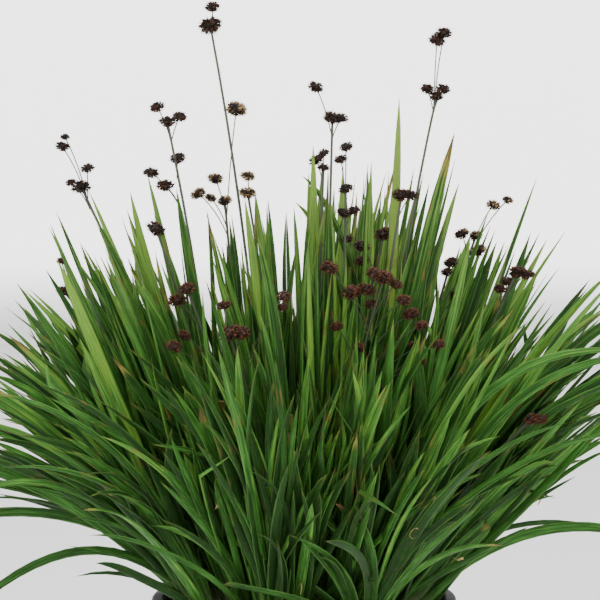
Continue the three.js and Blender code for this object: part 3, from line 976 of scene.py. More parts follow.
    def _fill(self, fan: Fan) -> None:
        """Grows the rest of a fan's leaves, spread in the fan's own plane."""
        colours = Dice(COLOUR_SEED + len(fan.leaves) + int(fan.name[-2:]) * COLOUR_SEED_STEP)
        between, about = self.dice.between, self.dice.about
        least_arch, most_arch = FILL_ARCH
        for _ in range(FILL_TRIES):
            if not fan.has_space:
                return
            out = point(math.cos(fan.lean_azimuth), math.sin(fan.lean_azimuth), 0)
            chord = UP + out * math.tan(fan.lean * between(*FILL_LEAN))
            chord = unit(chord + fan.spread * about(FILL_SPREAD))
            steepness = chord[2]
            length = LEAF_LENGTH * between(*FILL_LENGTH)
            length *= LEVEL_LENGTH_SHARE + (1 - LEVEL_LENGTH_SHARE) * steepness
            tip = fan.leaf_foot + chord * length
            arch = least_arch + most_arch * (1 - steepness) * between(*FILL_ARCH_SHARE)
            sway = point(about(SWAY_SPREAD), about(SWAY_SPREAD), 0)
            width, twist = between(*FILL_WIDTH), about(FILL_TWIST_SPREAD)
            leaf, strand = grow_leaf(
                fan.leaf_foot, tip, width, arch, sway, fan.facing, twist, sparse=True
            )
            if self.clump.has_room_for(strand, fan.name):
                leaf.tone, leaf.dry = usual_tone(colours), usual_dryness(colours)
                fan.leaves.append(leaf)
                self.clump.add(strand, fan.name)


def usual_tone(dice: Dice) -> float:
    """The green of a leaf that the front doesn't show, mostly deep."""
    roll = dice.between(0, 1)
    tone = next(tone for most, tone in TONE_SHARES if roll < most)
    return tone.value + dice.between(*TONE_SHIFT)


def usual_dryness(dice: Dice) -> float:
    """The dried share of a leaf that the front doesn't show: nearly always only its very tip."""
    return BROWN.value * dice.between(*BROWN_SHARE) if dice.chance(BROWN_CHANCE) else TIP_DRYNESS


# How finely a leaf, stem or stalk is drawn.
BLADE_STATIONS = np.linspace(0, 1, 17) ** 0.9
SPARSE_STATIONS = np.linspace(0, 1, 12) ** 0.9
STEM_STATIONS = np.linspace(0, 1, 14)
STALK_STATIONS = np.linspace(0, 1, 7)
BLADE_SECTION_POINTS = 8
STALK_SECTION_POINTS = 7

# How a leaf's width and thickness run from its foot to its tip, and how it is folded lengthways.
BLADE_FOOT_SHARE = 0.78
BLADE_WIDENING = 0.3
BLADE_TAPER_POWER = 8.0
BLADE_TIP_POWER = 0.85
BLADE_KEEL = 0.42
TIP_THICKNESS_SHARE = 0.25
TIP_LENGTH_SHARE = 0.2
TIP_WIDTH = 0.03
CUT_DRYNESS = 0.03

# How many times a swaying leaf dips for each time it sways to the side.
DIPS_PER_SWAY = 0.7


def blade_taper(stations: Array, is_cut: bool = False) -> Array:
    """A leaf's width at each station, as a share of its widest. A cut one ends square."""
    widening = np.clip(stations / BLADE_WIDENING, 0, 1)
    foot = BLADE_FOOT_SHARE + (1 - BLADE_FOOT_SHARE) * widening * (2 - widening)
    return foot if is_cut else foot * (1 - stations**BLADE_TAPER_POWER) ** BLADE_TIP_POWER


@dataclass
class Rail:
    """A strand with what its finish reads: its green and how much of its end has dried."""

    strand: Strand
    tone: float = Tone.LEAFY.value
    dry: float = 0.0

    def wave(self, reach: float, turns: float, phase: float) -> None:
        """Makes it sway from side to side and, more slowly, up and down, more towards its tip.

        Args:
            reach: how far it sways, in millimetres.
            turns: how many times it sways there and back.
            phase: where in a sway it starts, in radians.
        """
        strand = self.strand
        share = np.linspace(0, 1, len(strand.at))[:, None]
        sway = np.sin(math.tau * turns * share + phase) - math.sin(phase)
        dip = np.cos(math.tau * turns * DIPS_PER_SWAY * share + phase) - math.cos(phase)
        strand.at = strand.at + (strand.side * sway + strand.face * dip) * share * reach

    def cut(self, share: float) -> None:
        """Takes its end off, a share of the way along, as where a leaf has been cut."""
        kept = int(share * len(self.strand.at)) + 1
        for key, values in vars(self.strand).items():
            setattr(self.strand, key, values[:kept])
        self.dry = CUT_DRYNESS

    def fold(self, share: float, angle: float) -> None:
        """Bends it over sharply, as where a leaf has broken.

        Args:
            share: how far along the fold is.
            angle: how far it bends, in radians.
        """
        strand = self.strand
        place = int(share * (len(strand.at) - 1))
        hinge, origin = strand.side[place], strand.at[place].copy()

        def turned(vectors: Array) -> Array:
            """Vectors turned by the angle about the fold."""
            level = vectors * math.cos(angle) + np.cross(hinge, vectors) * math.sin(angle)
            return level + hinge * (vectors @ hinge)[:, None] * (1 - math.cos(angle))

        beyond = slice(place + 1, None)
        strand.at[beyond] = origin + turned(strand.at[beyond] - origin)
        strand.side[beyond] = turned(strand.side[beyond])
        strand.face[beyond] = turned(strand.face[beyond])

    @classmethod
    def of_leaf(cls, leaf: Leaf, stations: Array = BLADE_STATIONS) -> "Rail":
        """The rail of a leaf, finely measured and ending in a fine point."""
        strand = leaf.strand(stations, blade_taper(stations, leaf.is_cut))
        strand.half_width = np.maximum(strand.half_width, TIP_WIDTH)
        fullness = np.clip((1 - stations) / TIP_LENGTH_SHARE, 0, 1)
        share = TIP_THICKNESS_SHARE + (1 - TIP_THICKNESS_SHARE) * fullness
        strand.half_thickness = LEAF_THICKNESS / 2 * share
        if not leaf.is_cut:
            strand.half_thickness[-1] = TIP_WIDTH
        return cls(strand, leaf.tone, leaf.dry)

    def attributes(self) -> dict[str, Array]:
        """What the trees and the finish read at each of its rings, in metres."""
        strand, size = self.strand, len(self.strand.at)
        steps = np.linalg.norm(np.diff(strand.at, axis=0), axis=1)
        return {
            "centre": strand.at * MM,
            "side": strand.side,
            "face": strand.face,
            "half_width": strand.half_width * MM,
            "half_thickness": strand.half_thickness * MM,
            "along": np.concatenate([[0], np.cumsum(steps)]) / steps.sum(),
            "tone": np.full(size, self.tone),
            "dry": np.full(size, self.dry),
        }


@dataclass(frozen=True)
class Head:
    """A flower head to be drawn: its middle, its radius and its colour."""

    middle: Array
    radius: float
    redness: float
    dryness: float

    def attributes(self) -> dict[str, Array]:
        """What the tree and the finish read at its middle, in metres."""
        return {
            "centre": self.middle[None] * MM,
            "radius": np.array([self.radius * MM]),
            "redness": np.array([self.redness]),
            "dryness": np.array([self.dryness]),
        }


# The attributes of a rail mesh, how each sort is stored, and those that only the trees read.
VECTORS = ("centre", "side", "face")
NUMBERS = ("half_width", "half_thickness", "along", "tone", "dry", "radius", "redness", "dryness")
VECTOR_STORE = ((3,), "FLOAT_VECTOR", "vector")
NUMBER_STORE = ((), "FLOAT", "value")
SCRATCH = (*VECTORS, "half_width", "half_thickness", "radius", "over")


def rail_mesh(name: str, rails: Iterable[Rail], flower_heads: Iterable[Head] = ()) -> Mesh:
    """A mesh of bare edges for the Geometry Nodes trees: one chain for each rail, one loose point
    for each head, with all that the trees and finishes read as attributes.

    Args:
        name: the mesh's name.
        rails: the leaves, sheaths, stems and stalks.
        flower_heads: the flower heads.

    Returns:
        The mesh, in metres.
    """
    rows: list[dict[str, Array]] = []
    edges: list[tuple[int, int]] = []
    count = 0
    for rail in rails:
        rows.append(rail.attributes())
        size = len(rail.strand.at)
        edges += [(count + i, count + i + 1) for i in range(size - 1)]
        count += size
    rows += [head.attributes() for head in flower_heads]
    mesh = bpy.data.meshes.new(name)
    mesh.from_pydata(np.concatenate([row["centre"] for row in rows]).tolist(), edges, [])
    for key in (*VECTORS, *NUMBERS):
        width, kind, member = VECTOR_STORE if key in VECTORS else NUMBER_STORE
        columns = (row.get(key, np.zeros((len(row["centre"]), *width))) for row in rows)
        attribute = mesh.attributes.new(key, kind, "POINT")
        attribute.data.foreach_set(member, np.concatenate(list(columns)).ravel())
    return mesh


def socket_of(sockets: bpy.types.bpy_prop_collection, key: str | int) -> Socket:
    """A node's socket by its identifier, its name or its place."""
    if isinstance(key, str):
        for socket in sockets:
            if socket.identifier == key:
                return socket
    return sockets[key]


class NodeMaker:
    """Adds nodes to a tree and plugs them together."""

    def __init__(self, tree: bpy.types.NodeTree) -> None:
        """Starts with the tree that the nodes go into."""
        self.tree = tree

    def node(self, kind: str, plugs: Plugs | None = None, **settings: object) -> bpy.types.Node:
        """Adds a node.

        Args:
            kind: the node's Blender type.
            plugs: what each of its inputs gets, a socket or a value.
            settings: the node's own properties.

        Returns:
            The node.
        """
        made = self.tree.nodes.new(kind)
        for name, value in settings.items():
            setattr(made, name, value)
        for key, value in (plugs or {}).items():
            socket = socket_of(made.inputs, key)
            if isinstance(value, Socket):
                self.tree.links.new(value, socket)
            else:
                socket.default_value = value
        return made

    def maths(self, operation: str, *values: object) -> Socket:
        """The result of a Math node."""
        return self.node("ShaderNodeMath", dict(enumerate(values)), operation=operation).outputs[0]

    def times(self, one: object, other: object) -> Socket:
        """The product of two numbers."""
        return self.maths("MULTIPLY", one, other)

    def vector(self, **axes: object) -> Socket:
        """A vector from its X, Y and Z, each nothing where it isn't named."""
        return self.node("ShaderNodeCombineXYZ", axes).outputs["Vector"]

    def axes(self, vector: Socket) -> bpy.types.bpy_prop_collection:
        """The X, Y and Z of a vector, by name."""
        return self.node("ShaderNodeSeparateXYZ", {"Vector": vector}).outputs


class Tree(NodeMaker):
    """A Geometry Nodes tree that is built node by node."""

    def __init__(self, name: str) -> None:
        """Starts a tree that takes a geometry and gives one."""
        super().__init__(bpy.data.node_groups.new(name, "GeometryNodeTree"))
        for side in ("INPUT", "OUTPUT"):
            self.tree.interface.new_socket("Geometry", in_out=side, socket_type="NodeSocketGeometry")
        self._entry = self.tree.nodes.new("NodeGroupInput")
        self._exit = self.tree.nodes.new("NodeGroupOutput")

    @property
    def geometry(self) -> Socket:
        """The geometry that comes in."""
        return self._entry.outputs["Geometry"]

    def place(self) -> Socket:
        """The place of each point."""
        return self.node("GeometryNodeInputPosition").outputs["Position"]

    def input(self, name: str, default: object = None) -> Socket:
        """Adds a named input.

        Args:
            name: the input's name.
            default: a float, an int or, for a material, None.

        Returns:
            The socket that gives its value.
        """
        kinds = {float: "NodeSocketFloat", int: "NodeSocketInt"}
        kind = kinds.get(type(default), "NodeSocketMaterial")
        made = self.tree.interface.new_socket(name, in_out="INPUT", socket_type=kind)
        if default is not None:
            made.default_value = default
        return self._entry.outputs[name]

    def read(self, name: str, kind: str = "FLOAT") -> Socket:
        """The value of a named attribute."""
        made = self.node("GeometryNodeInputNamedAttribute", {"Name": name}, data_type=kind)
        return made.outputs["Attribute"]

    def shape(self, kind: str, plugs: Plugs, **settings: object) -> Socket:
        """The geometry that a node gives, its kind named without Blender's prefix."""
        return self.node(f"GeometryNode{kind}", plugs, **settings).outputs[0]

    def store(self, geometry: Socket, name: str, value: Socket, domain: str = "POINT") -> Socket:
        """The geometry with a number stored on it under a name."""
        plugs = {"Geometry": geometry, "Name": name, "Value": value}
        return self.shape("StoreNamedAttribute", plugs, data_type="FLOAT", domain=domain)

    def scaled(self, vector: Socket, scale: Socket) -> Socket:
        """A vector times a number."""
        made = self.node("ShaderNodeVectorMath", {0: vector, "Scale": scale}, operation="SCALE")
        return made.outputs["Vector"]

    def added(self, one: Socket, other: Socket) -> Socket:
        """The sum of two vectors."""
        made = self.node("ShaderNodeVectorMath", {0: one, 1: other}, operation="ADD")
        return made.outputs["Vector"]

    def random(self, span: Span, seed: object) -> Socket:
        """A random number for each element, from the span's low to its high end."""
        plugs = {"Min_001": span[0], "Max_001": span[1], "Seed": seed}
        made = self.node("FunctionNodeRandomValue", plugs, data_type="FLOAT")
        return socket_of(made.outputs, "Value_001")

    def random_turn(self, seed: object, tilt: float = math.pi) -> Socket:
        """A random rotation for each element, which tilts it by an angle at most."""
        most = (tilt, tilt, math.pi)
        plugs = {"Min": tuple(-angle for angle in most), "Max": most, "Seed": seed}
        made = self.node("FunctionNodeRandomValue", plugs, data_type="FLOAT_VECTOR")
        angles = socket_of(made.outputs, "Value")
        return self.node("FunctionNodeEulerToRotation", {"Euler": angles}).outputs["Rotation"]

    def joined(self, *parts: Socket) -> Socket:
        """Several geometries in one."""
        made = self.node("GeometryNodeJoinGeometry")
        for part in reversed(parts):
            self.tree.links.new(part, made.inputs["Geometry"])
        return made.outputs["Geometry"]

    def dressed(self, geometry: Socket, material: Socket) -> Socket:
        """A geometry with its instances made real, smooth and given a material."""
        real = self.shape("RealizeInstances", {"Geometry": geometry})
        smooth = self.shape("SetShadeSmooth", {"Geometry": real})
        return self.shape("SetMaterial", {"Geometry": smooth, "Material": material})

    def finish(self, geometry: Socket) -> bpy.types.NodeTree:
        """Sends a geometry out of the tree and returns the finished tree."""
        self.tree.links.new(geometry, self._exit.inputs["Geometry"])
        return self.tree


def swept_blades(tree: Tree, rails: Socket, section_points: Socket, keel: Socket) -> Socket:
    """Adds the nodes that sweep a lens-shaped or round section along every chain of edges.

    Args:
        tree: the tree that they are added to.
        rails: the chains, with the attributes that rail_mesh gives them.
        section_points: how many points go round a section.
        keel: how far a section is folded along its middle, nothing for a round stem.

    Returns:
        The swept mesh.
    """
    curve = tree.shape("MeshToCurve", {"Mesh": rails})
    plugs = {"Resolution": section_points, "Radius": 1.0}
    circle = tree.shape("CurvePrimitiveCircle", plugs, mode="RADIUS")
    parts = tree.axes(tree.place())
    fold = tree.times(tree.maths("ABSOLUTE", parts["X"]), keel)
    over = tree.maths("SUBTRACT", tree.maths("ADD", parts["Y"], tree.times(keel, 0.5)), fold)
    section = tree.store(circle, "across", parts["X"])
    section = tree.store(section, "over", over)
    swept = tree.shape("CurveToMesh", {"Curve": curve, "Profile Curve": section, "Fill Caps": True})
    reach = tree.times(tree.read("across"), tree.read("half_width"))
    rise = tree.times(tree.read("over"), tree.read("half_thickness"))
    sideways = tree.scaled(tree.read("side", "FLOAT_VECTOR"), reach)
    upwards = tree.scaled(tree.read("face", "FLOAT_VECTOR"), rise)
    position = tree.added(tree.read("centre", "FLOAT_VECTOR"), tree.added(sideways, upwards))
    return tree.shape("SetPosition", {"Geometry": swept, "Position": position})


@dataclass(frozen=True)
class HeadSizes:
    """What a flower head is made of, in shares of its radius. A capsule's girth and lift and a
    spike's length are shares of the floret's length, a tilt is in radians, and the least radius
    that is drawn is in metres."""

    core: float = 0.62
    floret_length: float = 0.46
    floret_spacing: float = 0.24
    floret_density: float = 60.0
    floret_sizes: Span = (0.7, 1.25)
    capsule_girth: float = 0.64
    capsule_lift: float = 0.42
    spike_length: float = 1.45
    spike_tilts: tuple[float, ...] = (0.7, 0.35, 0.85)
    spike_foot: float = 0.07
    widths: Span = (1.1, 1.5)
    heights: Span = (0.75, 0.95)
    tilt: float = 0.45
    least_radius: float = 1e-5


HEAD = HeadSizes()


def bristly_heads(tree: Tree, points: Socket, core: Socket, bristle: Socket, seed: Socket) -> Socket:
    """Adds the nodes that put a bristly cluster of florets on every point that has a radius.

    Args:
        tree: the tree that they are added to.
        points: the points, with the attribute radius.
        core: the cluster's radius under its florets, as a share of the head's.
        bristle: a floret's length, as a share of the head's radius.
        seed: what the random turns and sizes start from.

    Returns:
        The heads, as instances.
    """
    girth = tree.times(bristle, HEAD.capsule_girth)
    plugs = {
        "Geometry": tree.shape("MeshIcoSphere", {"Radius": 0.5, "Subdivisions": 1}),
        "Translation": tree.vector(Z=tree.times(bristle, HEAD.capsule_lift)),
        "Scale": tree.vector(X=girth, Y=girth, Z=bristle),
    }
    floret = [tree.shape("Transform", plugs)]
    length = tree.times(bristle, HEAD.spike_length)
    plugs = {"Vertices": 3, "Radius Top": 0.0, "Radius Bottom": HEAD.spike_foot, "Depth": length}
    spike = tree.shape("MeshCone", plugs)
    for turn, tilt in enumerate(HEAD.spike_tilts):
        azimuth = math.tau * turn / len(HEAD.spike_tilts)
        rotation = (tilt * math.cos(azimuth), tilt * math.sin(azimuth), azimuth)
        floret.append(tree.shape("Transform", {"Geometry": spike, "Rotation": rotation}))
    ball = tree.shape("MeshIcoSphere", {"Radius": core, "Subdivisions": 2})
    plugs = {
        "Mesh": ball,
        "Distance Min": HEAD.floret_spacing,
        "Density Max": HEAD.floret_density,
        "Seed": seed,
    }
    spots = tree.node("GeometryNodeDistributePointsOnFaces", plugs, distribute_method="POISSON").outputs
    plugs = {
        "Points": spots["Points"],
        "Instance": tree.joined(*floret),
        "Rotation": spots["Rotation"],
        "Scale": tree.random(HEAD.floret_sizes, seed),
    }
    florets = tree.shape("InstanceOnPoints", plugs)
    florets = tree.store(florets, "glint", tree.random((0.0, 1.0), seed), domain="INSTANCE")
    size = tree.read("radius")
    plugs = {"A": size, "B": HEAD.least_radius}
    carries_head = tree.node("FunctionNodeCompare", plugs, operation="GREATER_THAN")
    wide = tree.times(size, tree.random(HEAD.widths, seed))
    high = tree.times(size, tree.random(HEAD.heights, seed))
    plugs = {
        "Points": points,
        "Selection": carries_head.outputs["Result"],
        "Instance": tree.joined(ball, florets),
        "Rotation": tree.random_turn(seed, HEAD.tilt),
        "Scale": tree.vector(X=wide, Y=wide, Z=high),
    }
    return tree.shape("InstanceOnPoints", plugs)


def fan_tree() -> bpy.types.NodeTree:
    """The tree that turns a fan's rails into leaves."""
    tree = Tree("fan_of_leaves")
    points = tree.input("Section Points", BLADE_SECTION_POINTS)
    keel = tree.input("Keel", BLADE_KEEL)
    finish = tree.input("Leaf Finish")
    leaves = swept_blades(tree, tree.geometry, points, keel)
    return tree.finish(tree.dressed(leaves, finish))


def stem_tree() -> bpy.types.NodeTree:
    """The tree that turns a stem's rails and points into stalks with bristly heads."""
    tree = Tree("flower_stem")
    points = tree.input("Section Points", STALK_SECTION_POINTS)
    core = tree.input("Core Share", HEAD.core)
    bristle = tree.input("Floret Length", HEAD.floret_length)
    seed = tree.input("Seed", 11)
    stalk_finish = tree.input("Stalk Finish")
    head_finish = tree.input("Head Finish")
    keel = tree.input("Keel", 0.0)
    stalks = swept_blades(tree, tree.geometry, points, keel)
    flowers = bristly_heads(tree, tree.geometry, core, bristle, seed)
    parts = (tree.dressed(stalks, stalk_finish), tree.dressed(flowers, head_finish))
    return tree.finish(tree.joined(*parts))


# The thin and thick end of a fibre, in millimetres, and the spread of crumbs and fibres in size.
FIBRE_RADII = (0.08, 0.22)
CRUMB_SIZES = (0.45, 1.5)


def crumb_tree() -> bpy.types.NodeTree:
    """The tree that strews crumbs and fibres over the compost's top."""
    tree = Tree("compost_crumbs")
    density = tree.input("Crumbs Per Square Metre", 160000.0)
    crumb_size = tree.input("Crumb Size", 0.0009)
    fibre_density = tree.input("Fibres Per Square Metre", 22000.0)
    fibre_length = tree.input("Fibre Length", 0.007)
    level = tree.input("Lowest Crumb", 0.09)
    seed = tree.input("Seed", 5)
    finish = tree.input("Compost Finish")
    plugs = {"A": tree.axes(tree.place())["Z"], "B": level}
    on_top = tree.node("FunctionNodeCompare", plugs, operation="GREATER_THAN").outputs["Result"]
    plugs = {"Geometry": tree.geometry, "Selection": on_top}
    top = tree.shape("SeparateGeometry", plugs, domain="FACE")
    crumb = tree.shape("MeshIcoSphere", {"Radius": crumb_size, "Subdivisions": 1})
    thin, thick = (radius * MM for radius in FIBRE_RADII)
    plugs = {"Vertices": 4, "Radius Top": thin, "Radius Bottom": thick, "Depth": fibre_length}
    fibre = tree.shape("MeshCone", plugs)
    strewn = [tree.geometry]
    for shape, amount, shift in ((crumb, density, 0), (fibre, fibre_density, 1)):
        run = tree.maths("ADD", seed, shift)
        plugs = {"Mesh": top, "Density": amount, "Seed": run}
        plugs = {
            "Points": tree.shape("DistributePointsOnFaces", plugs),
            "Instance": shape,
            "Rotation": tree.random_turn(run),
            "Scale": tree.random(CRUMB_SIZES, run),
        }
        strewn.append(tree.shape("InstanceOnPoints", plugs))
    return tree.finish(tree.dressed(tree.joined(*strewn), finish))


def grown(name: str, source: Mesh, tree: bpy.types.NodeTree, values: dict[str, object]) -> Piece:
    """Runs a tree on a mesh and keeps the result as a plain piece.

    Args:
        name: the piece's name.
        source: the mesh that goes in.
        tree: the Geometry Nodes tree.
        values: what its named inputs get.

    Returns:
        The piece, at the origin and without modifiers.
    """
    carrier = added(f"{name}_source", source)
    modifier = carrier.modifiers.new("grow", "NODES")
    modifier.node_group = tree
    for item in tree.interface.items_tree:
        if item.in_out == "INPUT" and item.name in values:
            modifier[item.identifier] = values[item.name]
    depsgraph = bpy.context.evaluated_depsgraph_get()
    evaluated = carrier.evaluated_get(depsgraph)
    mesh = bpy.data.meshes.new_from_object(
        evaluated, preserve_all_data_layers=True, depsgraph=depsgraph
    )
    mesh.name = name
    bpy.data.objects.remove(carrier)
    bpy.data.meshes.remove(source)
    for scratch in SCRATCH:
        if scratch in mesh.attributes:
            mesh.attributes.remove(mesh.attributes[scratch])
    return added(name, mesh)


def added(name: str, data: bpy.types.ID) -> Piece:
    """A new object of a mesh, a lamp or a camera, in the scene."""
    made = bpy.data.objects.new(name, data)
    bpy.context.scene.collection.objects.link(made)
    return made


def settle(piece: Piece, node: str) -> Piece:
    """Makes a piece stand for a CAD node, whose part it hides, and ride on the body.

    Args:
        piece: the piece.
        node: the name of the CAD node.

    Returns:
        The same piece.
    """
    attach(piece, BODY)
    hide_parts(node)
    triangles = sum(len(face.vertices) - 2 for face in piece.data.polygons)
    LOG.info("%s: %d triangles", piece.name, triangles)
    return piece


class Paint(NodeMaker):
    """A Principled material that is built node by node."""

    def __init__(self, name: str, **constants: object) -> None:
        """Starts a material, with the values that are the same all over it."""
        self.material = bpy.data.materials.new(name)
        self.material.use_nodes = True
        super().__init__(self.material.node_tree)
        self.shader = self.tree.nodes["Principled BSDF"]
        for key, value in constants.items():
            self.shader.inputs[key.replace("_", " ")].default_value = value

    def read(self, name: str) -> Socket:
        """A number stored on the mesh."""
        return self.node("ShaderNodeAttribute", attribute_name=name).outputs["Fac"]

    def place(self) -> Socket:
        """The place on the object, in metres."""
        return self.node("ShaderNodeTexCoord").outputs["Object"]

    def noise(self, place: Socket, scale: float, detail: float = 3.0) -> Socket:
        """Smooth noise round one half."""
        plugs = {"Vector": place, "Scale": scale, "Detail": detail}
        return self.node("ShaderNodeTexNoise", plugs).outputs["Fac"]

    def ramp(self, value: Socket, *stops: tuple[float, Colour]) -> Socket:
        """A colour that runs smoothly through stops as the value grows."""
        made = self.node("ShaderNodeValToRGB", {"Fac": value})
        elements = made.color_ramp.elements
        while len(elements) < len(stops):
            elements.new(0.5)
        for element, (position, colour) in zip(elements, stops):
            element.position = position
            element.color = (*colour, 1)
        return made.outputs["Color"]

    def step(self, value: Socket, low: float, high: float) -> Socket:
        """How far a value has come from low to high, from 0 to 1, starting and ending softly."""
        plugs = {"Value": value, "From Min": low, "From Max": high}
        made = self.node("ShaderNodeMapRange", plugs, interpolation_type="SMOOTHSTEP")
        return made.outputs["Result"]

    def mix(self, share: object, one: object, other: object, kind: str = "MIX") -> Socket:
        """Two colours mixed, the second by a share."""
        one = (*one, 1) if isinstance(one, tuple) else one
        other = (*other, 1) if isinstance(other, tuple) else other
        plugs = {"Factor_Float": share, "A_Color": one, "B_Color": other}
        made = self.node("ShaderNodeMix", plugs, data_type="RGBA", blend_type=kind)
        return socket_of(made.outputs, "Result_Color")

    def height(self) -> Socket:
        """The height above the ground, in metres."""
        return self.axes(self.place())["Z"]

    def wavering(self, value: Socket, noise: Socket, reach: float) -> Socket:
        """A value that a noise moves up and down by a share of the reach."""
        return self.maths("MULTIPLY_ADD", self.maths("SUBTRACT", noise, 0.5), reach, value)

    def over(
        self, colour: object, other: object, share: float, *reaches: tuple[object, Span]
    ) -> Socket:
        """A colour with another over it, where some values have come far through their spans.

        Args:
            colour: the colour below.
            other: the colour over it.
            share: how far the other covers it at most.
            reaches: each value with the span from where it brings nothing to where it brings all.

        Returns:
            The mixed colour.
        """
        for value, span in reaches:
            share = self.times(share, self.step(value, *span))
        return self.mix(share, colour, other)

    def coat(self, socket: str, value: Socket) -> None:
        """Links a value to an input of the shader."""
        self.tree.links.new(value, self.shader.inputs[socket])

    def roughen(self, noise: Socket, least: float, spread: float) -> None:
        """Makes the surface rougher where a noise is high, by the spread at most."""
        self.coat("Roughness", self.maths("MULTIPLY_ADD", noise, spread, least))

    def bump(self, height: Socket, distance: float, strength: float = 1.0) -> None:
        """Raises the surface by a height times a distance in metres."""
        plugs = {"Height": height, "Distance": distance, "Strength": strength}
        self.coat("Normal", self.node("ShaderNodeBump", plugs).outputs["Normal"])


